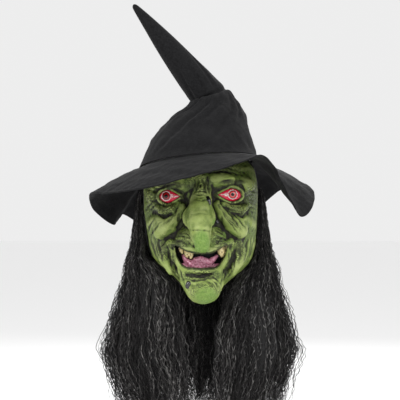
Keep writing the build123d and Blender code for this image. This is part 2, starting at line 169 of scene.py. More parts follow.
# ---------------------------------------------------------------- sculpting with distance fields
class Clay:
    """A block of clay on a grid: forms are added to it and pressed into it with soft edges."""

    def __init__(self, low, high, step):
        self.low, self.step = np.array(low, dtype=np.float32), step
        self.axes = [np.arange(a, b, step, dtype=np.float32) for a, b in zip(low, high)]
        self.field = np.full([len(a) for a in self.axes], 1e3, dtype=np.float32)

    def window(self, low, high, margin):
        """The part of the grid around a form, with its coordinates."""
        cuts = []
        for axis, a, b in zip(self.axes, low, high):
            start = np.searchsorted(axis, a - margin)
            cuts.append(slice(start, max(np.searchsorted(axis, b + margin), start)))
        x, y, z = (axis[cut] for axis, cut in zip(self.axes, cuts))
        return tuple(cuts), x[:, None, None], y[None, :, None], z[None, None, :]

    def whole(self):
        """The coordinates of the whole grid."""
        x, y, z = self.axes
        return x[:, None, None], y[None, :, None], z[None, None, :]

    def trim(self, beyond):
        """Cuts the clay away where a distance is above zero."""
        self.field = np.maximum(self.field, beyond.astype(np.float32))

    def mix(self, cuts, distance, soft, press):
        """Adds or presses a distance into the clay with a soft join."""
        old = self.field[cuts]
        if press:
            h = np.clip(0.5 - 0.5 * (old + distance) / soft, 0, 1)
            self.field[cuts] = old * (1 - h) - distance * h + soft * h * (1 - h)
        else:
            h = np.clip(0.5 + 0.5 * (old - distance) / soft, 0, 1)
            self.field[cuts] = old * (1 - h) + distance * h - soft * h * (1 - h)

    def ball(self, centre, radii, soft=6.0, press=False, turn=0.0, pitch=0.0):
        """An ellipsoid, turned about Z and pitched about X by degrees."""
        reach = max(radii)
        c = np.array(centre, dtype=float)
        cuts, x, y, z = self.window(c - reach, c + reach, soft + 2)
        x, y, z = x - c[0], y - c[1], z - c[2]
        s, t = math.sin(math.radians(turn)), math.cos(math.radians(turn))
        x, y = x * t + y * s, y * t - x * s
        s, t = math.sin(math.radians(pitch)), math.cos(math.radians(pitch))
        y, z = y * t + z * s, z * t - y * s
        a, b, d = radii
        k0 = np.sqrt((x / a) ** 2 + (y / b) ** 2 + (z / d) ** 2)
        k1 = np.sqrt((x / a**2) ** 2 + (y / b**2) ** 2 + (z / d**2) ** 2) + 1e-6
        self.mix(cuts, (k0 * (k0 - 1) / k1).astype(np.float32), soft, press)

    def roll(self, points, radii, soft=4.0, press=False):
        """A roll along a path, its radius changing from point to point."""
        p = np.asarray(points, dtype=float)
        r = np.broadcast_to(np.asarray(radii, dtype=float), (len(p),))
        cuts, x, y, z = self.window(p.min(0), p.max(0), r.max() + soft + 2)
        best = None
        for a, b, ra, rb in zip(p[:-1], p[1:], r[:-1], r[1:]):
            d = b - a
            h = ((x - a[0]) * d[0] + (y - a[1]) * d[1] + (z - a[2]) * d[2]) / max(d @ d, 1e-6)
            h = np.clip(h, 0, 1)
            away = (x - a[0] - h * d[0]) ** 2 + (y - a[1] - h * d[1]) ** 2 + (z - a[2] - h * d[2]) ** 2
            gap = np.sqrt(away) - (ra + (rb - ra) * h)
            best = gap if best is None else np.minimum(best, gap)
        self.mix(cuts, best.astype(np.float32), soft, press)

    def dent(self, *form, **angles):
        """Presses a ball into the clay."""
        self.ball(*form, press=True, **angles)

    def groove(self, *form):
        """Presses a roll into the clay."""
        self.roll(*form, press=True)

    def surface(self):
        """Vertices and quads of the clay's surface, by surface nets."""
        f = self.field
        inside = f < 0
        n = np.array(f.shape)
        corners = [(i, j, k) for i in (0, 1) for j in (0, 1) for k in (0, 1)]
        count = 0
        for i, j, k in corners:
            count = count + inside[i:n[0] - 1 + i, j:n[1] - 1 + j, k:n[2] - 1 + k].astype(np.int8)
        cells = np.argwhere((count > 0) & (count < 8))
        ids = np.full(n - 1, -1, dtype=np.int64)
        ids[tuple(cells.T)] = np.arange(len(cells))
        total = np.zeros((len(cells), 3))
        hits = np.zeros(len(cells))
        for a in corners:
            for axis in range(3):
                if a[axis]:
                    continue
                b = list(a)
                b[axis] = 1
                fa = f[tuple((cells + a).T)]
                fb = f[tuple((cells + b).T)]
                cross = (fa < 0) != (fb < 0)
                t = np.where(cross, fa / np.where(cross, fa - fb, 1), 0)
                point = np.tile(np.array(a, dtype=float), (len(cells), 1))
                point[:, axis] += t
                total += point * cross[:, None]
                hits += cross
        verts = (cells + total / hits[:, None]) * self.step + self.low
        quads = []
        for axis in range(3):
            u, v = (axis + 1) % 3, (axis + 2) % 3
            lower = [slice(None)] * 3
            upper = [slice(None)] * 3
            lower[axis], upper[axis] = slice(0, -1), slice(1, None)
            flip = inside[tuple(lower)]
            beyond = inside[tuple(upper)]
            for edges, reverse in ((flip & ~beyond, False), (~flip & beyond, True)):
                e = np.argwhere(edges)
                e = e[(e[:, u] > 0) & (e[:, v] > 0) & (e[:, u] < n[u] - 1) & (e[:, v] < n[v] - 1)]
                ring = []
                for du, dv in ((1, 1), (0, 1), (0, 0), (1, 0)):
                    cell = e.copy()
                    cell[:, u] -= du
                    cell[:, v] -= dv
                    ring.append(ids[tuple(cell.T)])
                quads.append(np.stack(ring[::-1] if reverse else ring, axis=-1))
        return verts, np.vstack(quads)


def normals_of(verts, quads):
    """Smooth vertex normals of a quad mesh."""
    p = verts[quads]
    n = np.cross(p[:, 2] - p[:, 0], p[:, 3] - p[:, 1])
    total = np.zeros_like(verts)
    for i in range(4):
        for axis in range(3):
            total[:, axis] += np.bincount(quads[:, i], n[:, axis], len(verts))
    return total / (np.linalg.norm(total, axis=1, keepdims=True) + 1e-9)


class Neighbours:
    """Averages over the vertices next to each vertex."""

    def __init__(self, count, quads):
        starts = [quads[:, i] for i in range(4)]
        ends = [quads[:, (i + 1) % 4] for i in range(4)]
        self.a = np.concatenate(starts + ends)
        self.b = np.concatenate(ends + starts)
        self.count = count
        self.degree = np.bincount(self.a, minlength=count).clip(1)

    def mean(self, values):
        """The mean of the neighbours' values."""
        if values.ndim == 1:
            return np.bincount(self.a, values[self.b], self.count) / self.degree
        return np.stack([self.mean(values[:, i]) for i in range(values.shape[1])], axis=1)


# ---------------------------------------------------------------- face
# Half width of the face on the right and left, and its front, by height.
FACE_Z = [-8, 4, 14, 25, 38, 50, 60, 72, 90, 104, 118, 139, 155, 176, 196, 214, 236, 252, 262]
FACE_RIGHT = [6, 17, 23, 29, 39, 53, 66, 76, 82, 84, 86, 89.5, 90.5, 91.5, 91, 87, 70, 44, 8]
FACE_LEFT = [8, 26, 33, 38, 51, 66, 76, 83, 87.5, 88.5, 90, 91, 91.5, 92, 91, 87, 70, 44, 8]
FACE_FRONT = [56, 68, 72, 76, 78, 80, 82, 84, 86, 86, 86, 86, 86, 86, 87, 84, 64, 38, 8]
FACE_BACK = 95.0  # the form's depth behind the ears, which is trimmed off


def egg(x, y, half, depth):
    """Distance from an upright form given by its half width and its depth at each height."""
    norm = ((np.abs(x) / half) ** SQUARENESS + (np.abs(y) / depth) ** SQUARENESS) ** (1 / SQUARENESS) + 1e-6
    return np.sqrt(x**2 + y**2) * (1 - 1 / norm)


def head_clay(step):
    """The smooth form that the face is built up on, as clay."""
    clay = Clay((-98, -148, -8), (98, 32, 262), step)
    x, y, z = clay.whole()
    right, left, front = (np.interp(z, FACE_Z, table) for table in (FACE_RIGHT, FACE_LEFT, FACE_FRONT))
    half = np.where(x < 0, right, left)
    depth = np.where(y < 0, front, FACE_BACK)
    clay.field = egg(x, y, half, depth).astype(np.float32)
    for _ in range(5):
        f = clay.field
        f[:, :, 1:-1] = (f[:, :, :-2] + 2 * f[:, :, 1:-1] + f[:, :, 2:]) / 4
    return clay


def sculpt_eye_region(clay):
    """Brows, sockets and the bags under the eyes."""
    # brow, forehead and temples
    clay.ball((-46, -76, 188), (30, 13, 9), 10)
    clay.ball((30, -82, 195), (24, 13, 10), 9)
    clay.ball((-3, -85, 192), (14, 10, 14), 8)
    clay.ball((66, -62, 186), (20, 14, 14), 8)
    clay.ball((-70, -56, 170), (16, 12, 20), 8)
    # sockets
    clay.dent((-48, -89, 169), (24, 13, 15), 8)
    clay.dent((46, -89, 171), (26, 13, 15), 8)
    clay.dent((-24, -92, 160), (8, 12, 18), 7)
    clay.dent((22, -92, 163), (6, 11, 16), 6)
    # bags under the eyes
    clay.roll([(-36, -80, 156), (-46, -81, 148), (-58, -74, 146), (-68, -64, 152)], [3, 6.5, 7.5, 4], 5)
    clay.roll([(36, -81, 156), (48, -81, 149), (60, -75, 147), (72, -62, 152)], [3, 6, 8, 4], 5)


def sculpt_lower_face(clay):
    """Cheeks, muzzle, lips and chin."""
    # cheek rolls that sweep down and out from beside the nose
    clay.roll([(-28, -84, 152), (-38, -84, 138), (-50, -80, 124), (-62, -70, 114)], [4, 8.5, 13, 12], 7)
    clay.roll([(-60, -73, 132), (-73, -55, 128), (-80, -38, 124)], [8, 7, 4], 12)
    clay.roll([(25, -84, 156), (35, -85, 140), (49, -81, 126), (62, -71, 115)], [3.5, 7.5, 12.5, 12], 7)
    clay.roll([(62, -71, 133), (75, -54, 128), (82, -38, 124)], [8, 7, 4], 12)
    # muzzle, jaw and lips
    clay.ball((0, -84, 100), (38, 19, 26), 9)
    clay.ball((-1, -84, 56), (34, 17, 20), 10)
    clay.roll(
        [(-46, -77, 96), (-30, -92, 91), (-12, -100, 84), (10, -100, 84), (30, -93, 91), (47, -78, 97)],
        5.5, 5,
    )
    clay.roll(
        [(-45, -76, 90), (-41, -82, 74), (-27, -90, 56), (0, -95, 52.5), (29, -90, 56), (42, -82, 74),
         (46, -76, 90)],
        [5, 5, 5, 5.5, 5, 5, 5], 5,
    )
    clay.roll([(-56, -68, 92), (-57, -66, 72), (-46, -72, 52)], [7, 8, 6], 8)
    clay.roll([(58, -68, 92), (62, -64, 72), (50, -72, 50)], [8, 9, 6], 8)
    # chin
    clay.ball((3, -84, 36), (34, 20, 18), 14)
    clay.ball((4, -92, 23), (26, 20, 21), 12)
    clay.ball((7, -101, 21), (17, 12, 14), 8)


def sculpt_nose(clay):
    """The hooked nose with its wings and nostrils."""
    clay.roll(
        [(2, -84, 190), (2, -90, 177), (1, -95, 163), (-1, -104, 146), (-2, -111, 130)],
        [10, 13.5, 16.5, 19, 19], 7,
    )
    clay.roll([(-1, -111, 130), (0, -118, 114), (2, -124, 101), (2.5, -124, 93)], [19, 16.5, 13.5, 11.5], 4)
    clay.ball((-19, -97, 136), (8.5, 13, 13), 9, turn=-15)
    clay.ball((14, -97, 136), (8.5, 13, 13), 9, turn=15)
    clay.ball((-4, -113, 144), (11, 9, 16), 9)
    clay.dent((-15, -105, 116), (5, 9, 6), 3, turn=-20)
    clay.dent((17, -105, 117), (5, 9, 6), 3, turn=20)


def press_folds(clay):
    """The deep folds between the forms."""
    # folds beside the nose and round the muzzle
    clay.groove(
        [(-28, -88, 160), (-33, -93, 145), (-35, -95, 130), (-42, -93, 117), (-52, -87, 107),
         (-61, -80, 101)],
        [2, 3.5, 5, 5.5, 5.5, 3.5], 3.5,
    )
    clay.groove([(-61, -80, 101), (-61, -78, 86)], [3.5, 3], 3)
    clay.groove(
        [(26, -92, 152), (32, -95, 138), (34, -96, 126), (41, -93, 114), (50, -87, 105), (60, -80, 98),
         (61, -78, 86)],
        [1.5, 2.5, 4.5, 5, 5, 3.5, 2.5], 3.5,
    )
    # folds under the bags
    clay.groove(
        [(-33, -89, 156), (-42, -90, 143), (-56, -84, 136.5), (-68, -74, 141), (-76, -62, 152)],
        [1.5, 3, 3.4, 2.4, 1.5], 2.5,
    )
    clay.groove([(40, -89, 153), (54, -86, 142), (66, -77, 137), (77, -63, 145)], [1.5, 2.4, 2.8, 1.5], 2.5)
    # fold above the left upper lid and over the right one
    clay.groove(
        [(17, -93, 181), (36, -92, 190), (51, -87, 192.5), (63, -77, 186), (70, -70, 172), (74, -64, 158)],
        [2, 3.4, 3.6, 3.6, 3, 2], 3,
    )
    clay.groove([(-20, -92, 176), (-36, -90, 184), (-55, -82, 186), (-72, -66, 176)], [3, 2.6, 2.6, 2], 3)
    # folds down from the mouth's corners, under the lower lip and round the chin
    clay.groove([(-44, -83, 88), (-42, -88, 70), (-39, -88, 50)], [1.5, 2.6, 1.5], 2.5)
    clay.groove([(46, -83, 88), (44, -88, 68), (39, -87, 46), (40, -80, 33)], [1.5, 2.4, 2.2, 2.5], 2.5)
    clay.groove([(-22, -99, 48), (-4, -104, 46), (16, -101, 48)], [1.5, 2.8, 1.5], 3)
    # knots between the brows
    clay.groove([(-14, -99, 182), (-10, -98, 196)], 1.6, 2)
    clay.groove([(0, -100, 184), (1, -98, 199)], 1.6, 2)
    clay.groove([(10, -99, 180), (13, -97, 196)], 1.8, 2)
    clay.groove([(-10, -103, 176), (8, -104, 175)], 1.3, 2)


# Outlines of the openings: the eyes are teardrops that point to the nose, the mouth an open grin.
EYES = {
    "eye_right": {"side": -1, "centre": (-47.5, 168.5), "pupil": (-6.0, 0.5), "half": (16.5, 10.8)},
    "eye_left": {"side": 1, "centre": (44.8, 171), "pupil": (5.4, 0.6), "half": (18.8, 10.8)},
}
MOUTH_TOP = [(-40, 92), (-33, 90), (-24, 84), (-12, 80.5), (3, 79), (18, 80.5), (28, 86), (36, 91), (42, 92)]
MOUTH_BOTTOM = [
    (-40, 92), (-37, 76), (-30, 64), (-21, 58.5), (2, 57.5), (23, 58.5), (30, 64), (38, 78), (42, 92),
]


def eye_gap(eye, x, z):
    """Below 1 inside the teardrop of an eye, seen from the front."""
    cx, cz = eye["centre"]
    a, b = eye["half"]
    u = (x - cx) / a * eye["side"]
    v = (z - cz) / b
    slim = np.clip(1 - 0.42 * np.clip(0.25 - u, 0, 1.2) ** 1.2 * 1.6, 0.15, 1)
    return np.sqrt(u**2 + (v / slim) ** 2)


def mouth_gap(x, z):
    """Below 0 inside the open mouth, seen from the front, in millimetres."""
    top = np.interp(x, *zip(*MOUTH_TOP))
    bottom = np.interp(x, *zip(*MOUTH_BOTTOM))
    return np.maximum(z - top, bottom - z)


def front_of(clay, x, z):
    """How far the clay's front stands out (its Y) at a place seen from the front."""
    i = int(round((x - clay.low[0]) / clay.step))
    k = int(round((z - clay.low[2]) / clay.step))
    line = clay.field[i, :, k]
    j = int(np.argmax(line < 0))
    t = line[j - 1] / (line[j - 1] - line[j])
    return float(clay.axes[1][j - 1] + t * clay.step)


def cut_openings(clay):
    """Lids round the eye openings, and the open mouth."""
    for eye in EYES.values():
        cx, cz = eye["centre"]
        lid = []
        for i in range(33):
            a = 2 * math.pi * i / 32
            for reach in np.linspace(0.5, 2.0, 80):
                px = cx + eye["side"] * math.cos(a) * eye["half"][0] * reach
                pz = cz + math.sin(a) * eye["half"][1] * reach
                if eye_gap(eye, px, pz) >= 1.14:
                    break
            lid.append((px, pz))
        heights = np.array([front_of(clay, px, pz) for px, pz in lid[:-1]])
        for _ in range(6):
            heights = (np.roll(heights, 1) + 2 * heights + np.roll(heights, -1)) / 4
        heights = np.append(heights, heights[0])
        clay.roll([(px, h - 0.9, pz) for (px, pz), h in zip(lid, heights)], 2.7, 2.0)
    solid = clay.field.copy()
    cuts, x, y, z = clay.window((-75, -148, 145), (75, -60, 195), 0)
    for eye in EYES.values():
        hole = np.maximum((eye_gap(eye, x, z) - 1) * 9.0, y + 60)
        clay.field[cuts] = np.maximum(clay.field[cuts], -hole.astype(np.float32))
    cuts, x, y, z = clay.window((-50, -148, 50), (50, -60, 98), 0)
    clay.mix(cuts, np.maximum(mouth_gap(x, z), y + 60), 2.0, press=True)
    return solid


def hollow_and_trim(clay, solid):
    """Hollows the clay to a skin and trims it at the jaw and at the seam with the cap."""
    core = head_clay(clay.step)
    core.field += WALL
    bridge = [(3, -78, 190), (3, -84, 176), (3, -90, 160), (0, -99, 144), (-1, -106, 126)]
    core.roll(bridge, [5, 8, 11, 14, 13], 7)
    core.roll([(0, -107, 126), (1, -113, 112), (2, -117, 102)], [12, 10, 8], 4)
    core.ball((4, -84, 26), (20, 15, 15), 10)
    core.field = np.maximum(core.field, solid + 2.6)
    clay.trim(-core.field)
    _, y, z = clay.whole()
    clay.trim(y - SKIN_END + EDGE_LEAN * z)
    clay.trim((JAW_HEIGHT + JAW_LEAN * y - z) / 1.2)  # the divisor turns a height into about a distance
    return core


def family(first, last, count, width, depth, jitter=1.0):
    """Wrinkles that run side by side between a first and a last one, each a little off."""
    first, last = np.array(first, dtype=float), np.array(last, dtype=float)
    lines = []
    for i in range(count):
        t = i / max(count - 1, 1)
        line = first * (1 - t) + last * t + rng.normal(0, jitter, first.shape)
        lines.append((line, width * rng.uniform(0.75, 1.25), depth * rng.uniform(0.6, 1.2)))
    return lines


# Wrinkles seen from the front, as (x, z). A family has its first and last line, their number, width, depth
# and, if it isn't 1, how far they stray. A single wrinkle has its line, width and depth.
WRINKLES = [
    # upper lip beside the nose
    ([(-24, 126), (-33, 119), (-38, 112)], [(-16, 92), (-33, 91), (-46, 94)], 9, 1.5, 1.3),
    ([(24, 124), (31, 118), (36, 110)], [(18, 92), (32, 92), (46, 96)], 8, 1.5, 1.2),
    # bags under the eyes, and the skin below them
    ([(-36, 158), (-48, 153), (-60, 153), (-69, 158)],
     [(-38, 150), (-50, 142), (-62, 141), (-72, 148)], 8, 1.0, 0.8),
    ([(36, 157), (48, 154), (62, 154), (72, 161)],
     [(40, 150), (54, 142), (66, 141), (78, 150)], 9, 1.0, 0.8),
    ([(-30, 176), (-26, 166), (-28, 154)], [(-38, 160), (-34, 154), (-38, 144)], 5, 1.0, 0.8),
    ([(24, 178), (21, 166), (23, 154)], [(34, 160), (29, 155), (33, 146)], 5, 1.0, 0.8),
    ([(-28, 112), (-20, 108), (-14, 100)], [(-40, 106), (-28, 98), (-18, 92)], 5, 1.0, 0.7, 2.0),
    ([(28, 112), (22, 108), (18, 100)], [(42, 104), (32, 98), (22, 92)], 5, 1.0, 0.7, 2.0),
    ([(-20, 30), (-8, 33), (6, 34), (22, 30)], [(-16, 10), (-4, 14), (12, 14), (26, 12)], 5, 1.0, 0.45, 1.5),
    # crow's feet and temples
    ([(-67, 176), (-76, 182), (-86, 184)], [(-68, 158), (-76, 148), (-87, 140)], 10, 1.4, 1.1),
    ([(70, 172), (79, 176), (90, 176)], [(72, 155), (80, 147), (90, 142)], 7, 1.4, 1.0),
    # long folds that sweep from the nose over the cheeks
    ([(24, 160), (36, 140), (50, 122), (60, 110)],
     [(34, 160), (47, 145), (60, 130), (70, 117)], 6, 1.3, 1.1),
    ([(-30, 150), (-40, 136), (-50, 124)], [(-36, 152), (-48, 136), (-66, 122)], 4, 1.3, 0.8),
    ([(-72, 134), (-80, 122), (-83, 112)], 1.6, 1.3),
    ([(-60, 132), (-72, 116), (-78, 108)], 1.4, 0.8),
    # cheeks beside the mouth
    ([(-62, 98), (-60, 82), (-54, 62)], [(-80, 108), (-74, 86), (-64, 66)], 6, 1.7, 1.1),
    ([(62, 98), (62, 82), (58, 62)], [(84, 110), (82, 88), (74, 66)], 6, 1.7, 1.0),
    ([(-47, 92), (-46, 76), (-42, 56)], [(-54, 94), (-52, 76), (-46, 50)], 4, 1.4, 1.1),
    ([(49, 92), (48, 74), (43, 54)], [(56, 94), (55, 74), (48, 46)], 4, 1.4, 1.1),
    ([(-56, 98), (-62, 90)], [(-54, 82), (-62, 76)], 5, 1.5, 1.4),
    ([(56, 96), (64, 90)], [(55, 82), (63, 76)], 5, 1.5, 1.4),
    # nose
    ([(-17, 116), (-4, 117.5), (8, 117), (17, 115)], 1.2, 0.9),
    ([(-12, 151), (2, 152), (14, 151)], [(-13, 143), (2, 143), (16, 143)], 3, 1.0, 0.35),
    ([(-9, 171), (2, 170), (12, 171)], [(-10, 164), (2, 163), (13, 164)], 3, 1.2, 0.7),
    # between and over the brows
    ([(-24, 172), (-16, 180), (-12, 196)], [(-12, 170), (-6, 180), (-3, 198)], 4, 1.7, 1.5),
    ([(5, 172), (6, 184), (3, 198)], [(17, 172), (15, 184), (13, 199)], 4, 1.7, 1.5),
    ([(-70, 194), (-40, 198), (-14, 202)], [(-74, 216), (-40, 222), (-10, 222)], 5, 2.0, 1.0),
    ([(10, 206), (36, 208), (66, 200)], [(10, 226), (36, 228), (70, 218)], 4, 2.0, 1.0),
    ([(-30, 183), (-46, 185), (-62, 180)], [(-30, 190), (-48, 194), (-68, 187)], 4, 1.4, 1.0),
    # lower lip and chin
    ([(-22, 51), (-6, 50), (12, 51), (24, 53)], [(-25, 41), (-6, 40), (14, 41), (26, 43)], 4, 1.4, 1.2),
    ([(-34, 58), (-30, 46), (-24, 34)], [(-44, 56), (-38, 44), (-32, 36)], 4, 1.4, 0.9),
    ([(32, 56), (33, 44), (31, 34)], [(46, 60), (46, 48), (40, 38)], 5, 1.4, 0.9),
]
CHIN, CHIN_ARCS = (8, 19), (18, 22.5, 27)  # middle of the chin, and radii of the wrinkles round it


def wrinkles():
    """Every wrinkle of the face as (points seen from the front, width, depth)."""
    lines = []
    for row in WRINKLES:
        lines += family(*row) if len(row) > 3 else [row]
    turns = np.radians(range(-15, 150, 15))
    for radius in CHIN_ARCS:
        arc = [(CHIN[0] + radius * math.cos(a), CHIN[1] + radius * math.sin(a)) for a in turns]
        lines.append((arc, 1.2, 0.7))
    return lines


def press_wrinkles(verts, normals, mask):
    """Presses the wrinkles into the skin and returns how creased each point is."""
    creased = np.zeros(len(verts))
    push = np.zeros(len(verts))
    waver = np.stack([smooth_noise(verts, 11, 71) + 0.5 * smooth_noise(verts, 5, 72),
                      smooth_noise(verts, 11, 73) + 0.5 * smooth_noise(verts, 5, 74)], axis=1)
    for points, width, depth in wrinkles():
        path = curve_at(points, np.linspace(0, len(points) - 1, 4 * len(points)))
        low, high = path.min(0) - 4 * width, path.max(0) + 4 * width
        x, z = verts[:, 0], verts[:, 2]
        near = np.flatnonzero((x > low[0]) & (x < high[0]) & (z > low[1]) & (z < high[1]) & mask)
        p = verts[near][:, [0, 2]] + waver[near]
        best = np.full(len(near), 1e9)
        along = np.zeros(len(near))
        for i, (a, b) in enumerate(zip(path[:-1], path[1:])):
            d = b - a
            h = np.clip((p - a) @ d / max(d @ d, 1e-9), 0, 1)
            gap = np.hypot(*(p - a - h[:, None] * d).T)
            closer = gap < best
            best = np.where(closer, gap, best)
            along = np.where(closer, (i + h) / (len(path) - 1), along)
        fade = np.sin(np.clip(along, 0.04, 0.96) * math.pi) ** 0.5
        valley = np.exp(-((best / width) ** 2)) * fade
        ridge = np.exp(-(((best - 2.0 * width) / (1.1 * width)) ** 2)) * fade
        push[near] += depth * (0.45 * ridge - valley)
        creased[near] = np.maximum(creased[near], valley * min(depth, 1.2) / 1.2)
    return verts + normals * np.clip(push, WRINKLE_LOW, WRINKLE_HIGH)[:, None], creased


def make_face(step):
    """The moulded latex face, with its depth of fold and its curvature stored for the paint, which turns
    them into painted shade and painted highlight.
    """
    clay = head_clay(step)
    for sculpt in (sculpt_eye_region, sculpt_lower_face, sculpt_nose, press_folds):
        sculpt(clay)
    solid = cut_openings(clay)
    core = hollow_and_trim(clay, solid)
    verts, quads = clay.surface()
    cell = np.clip(((verts - core.low) / core.step).astype(int), 0, np.array(core.field.shape) - 1)
    outside = core.field[tuple(cell.T)] > 2.0
    normals = normals_of(verts, quads)
    near = Neighbours(len(verts), quads)
    verts, creased = press_wrinkles(verts, normals, outside & (normals[:, 1] < 0.35))
    lumps = sum(height * smooth_noise(verts, size, seed) for size, seed, height in SKIN_LUMPS)
    verts = verts + normals * (lumps * outside)[:, None]
    fine, broad = curvature(verts, quads, near)
    face = new_object("face_latex", verts, quads)
    # creases and curvature, which the paint turns into painted shade in the hollows and painted highlight on
    # the ridges
    set_attribute(face, "creased", creased)
    set_attribute(face, "fine", fine)
    set_attribute(face, "broad", broad)
    return face, clay


def smooth_noise(points, size, seed):
    """Soft lumps of about a size in millimetres, from -1 to 1."""
    local = np.random.default_rng(seed)
    total = np.zeros(len(points))
    for _ in range(10):
        way = local.normal(size=3)
        way = way / np.linalg.norm(way) * (2 * math.pi / (size * local.uniform(0.8, 1.4)))
        total += np.sin(points @ way + local.uniform(0, 6.28) + 1.5 * np.sin(points[:, ::-1] @ way * 0.37))
    return total / 4.5


def curvature(verts, quads, near):
    """Hollows (positive) and ridges (negative) of the surface, close up and from further off."""
    normals = normals_of(verts, quads)
    smooth = verts
    results = []
    for rounds in (3, 14):
        for _ in range(rounds):
            smooth = near.mean(smooth)
        hollow = np.einsum("ij,ij->i", smooth - verts, normals)
        for _ in range(2):
            hollow = near.mean(hollow)
        results.append(hollow)
    return results


# ---------------------------------------------------------------- material helpers
class Paint:
    """A node material built up step by step on one Principled shader."""

    def __init__(self, name, roughness=0.5):
        self.material = bpy.data.materials.new(name)
        self.material.use_nodes = True
        self.tree = self.material.node_tree
        self.shader = self.tree.nodes["Principled BSDF"]
        self.shader.inputs["Roughness"].default_value = roughness

    def node(self, kind, **settings):
        """Adds a node with its settings."""
        made = self.tree.nodes.new(kind)
        for key, value in settings.items():
            setattr(made, key, value)
        return made

    def join(self, out, into):
        """Links two sockets."""
        self.tree.links.new(out, into)

    def value(self, name):
        """The number stored on the mesh under a name."""
        return self.node("ShaderNodeAttribute", attribute_name=name).outputs["Fac"]

    def place(self, stretch=(1, 1, 1)):
        """Object coordinates, stretched."""
        coords = self.node("ShaderNodeTexCoord")
        mapping = self.node("ShaderNodeMapping")
        mapping.inputs["Scale"].default_value = stretch
        self.join(coords.outputs["Object"], mapping.inputs["Vector"])
        return mapping.outputs["Vector"]

    def noise(self, scale, detail=4.0, stretch=(1, 1, 1), roughness=0.5):
        """Noise in object space, from 0 to 1."""
        noise = self.node("ShaderNodeTexNoise")
        noise.inputs["Scale"].default_value = scale
        noise.inputs["Detail"].default_value = detail
        noise.inputs["Roughness"].default_value = roughness
        self.join(self.place(stretch), noise.inputs["Vector"])
        return noise.outputs["Fac"]

    def ramp(self, value, low, high, a=0.0, b=1.0):
        """Maps a value smoothly from low..high to a..b."""
        node = self.node("ShaderNodeMapRange", interpolation_type="SMOOTHSTEP")
        for socket, number in zip(("From Min", "From Max", "To Min", "To Max"), (low, high, a, b)):
            node.inputs[socket].default_value = number
        self.join(value, node.inputs["Value"])
        return node.outputs["Result"]

    def arithmetic(self, operation, a, b):
        """Arithmetic on two sockets, or on a socket and a number."""
        node = self.node("ShaderNodeMath", operation=operation)
        for socket, item in zip(node.inputs, (a, b)):
            if isinstance(item, (int, float)):
                socket.default_value = item
            else:
                self.join(item, socket)
        return node.outputs[0]

    def sum(self, a, b):
        """The two added."""
        return self.arithmetic("ADD", a, b)

    def less(self, a, b):
        """The first less the second."""
        return self.arithmetic("SUBTRACT", a, b)

    def times(self, a, b):
        """The two multiplied."""
        return self.arithmetic("MULTIPLY", a, b)

    def most(self, a, b):
        """The larger of the two."""
        return self.arithmetic("MAXIMUM", a, b)

    def mix(self, factor, a, b):
        """Mixes two colours, each a socket or red, green and blue."""
        node = self.node("ShaderNodeMix", data_type="RGBA")
        self.join(factor, node.inputs[0])
        for socket, item in zip((node.inputs[6], node.inputs[7]), (a, b)):
            if isinstance(item, tuple):
                socket.default_value = (*item, 1)
            else:
                self.join(item, socket)
        return node.outputs[2]

    def set(self, **constants):
        """Sets constant values of the shader, each named with _ for a space."""
        for name, number in constants.items():
            self.shader.inputs[name.replace("_", " ")].default_value = number

    def colour(self, socket):
        """Sets the shader's colour."""
        self.join(socket, self.shader.inputs["Base Color"])

    def gloss(self, socket):
        """Sets the shader's roughness from a socket."""
        self.join(socket, self.shader.inputs["Roughness"])

    def bump(self, height, distance, strength=1.0, under=None):
        """Adds a bump and returns its normal."""
        node = self.node("ShaderNodeBump")
        node.inputs["Strength"].default_value = strength
        node.inputs["Distance"].default_value = distance * MM
        self.join(height, node.inputs["Height"])
        if under is not None:
            self.join(under, node.inputs["Normal"])
        self.join(node.outputs["Normal"], self.shader.inputs["Normal"])
        return node.outputs["Normal"]


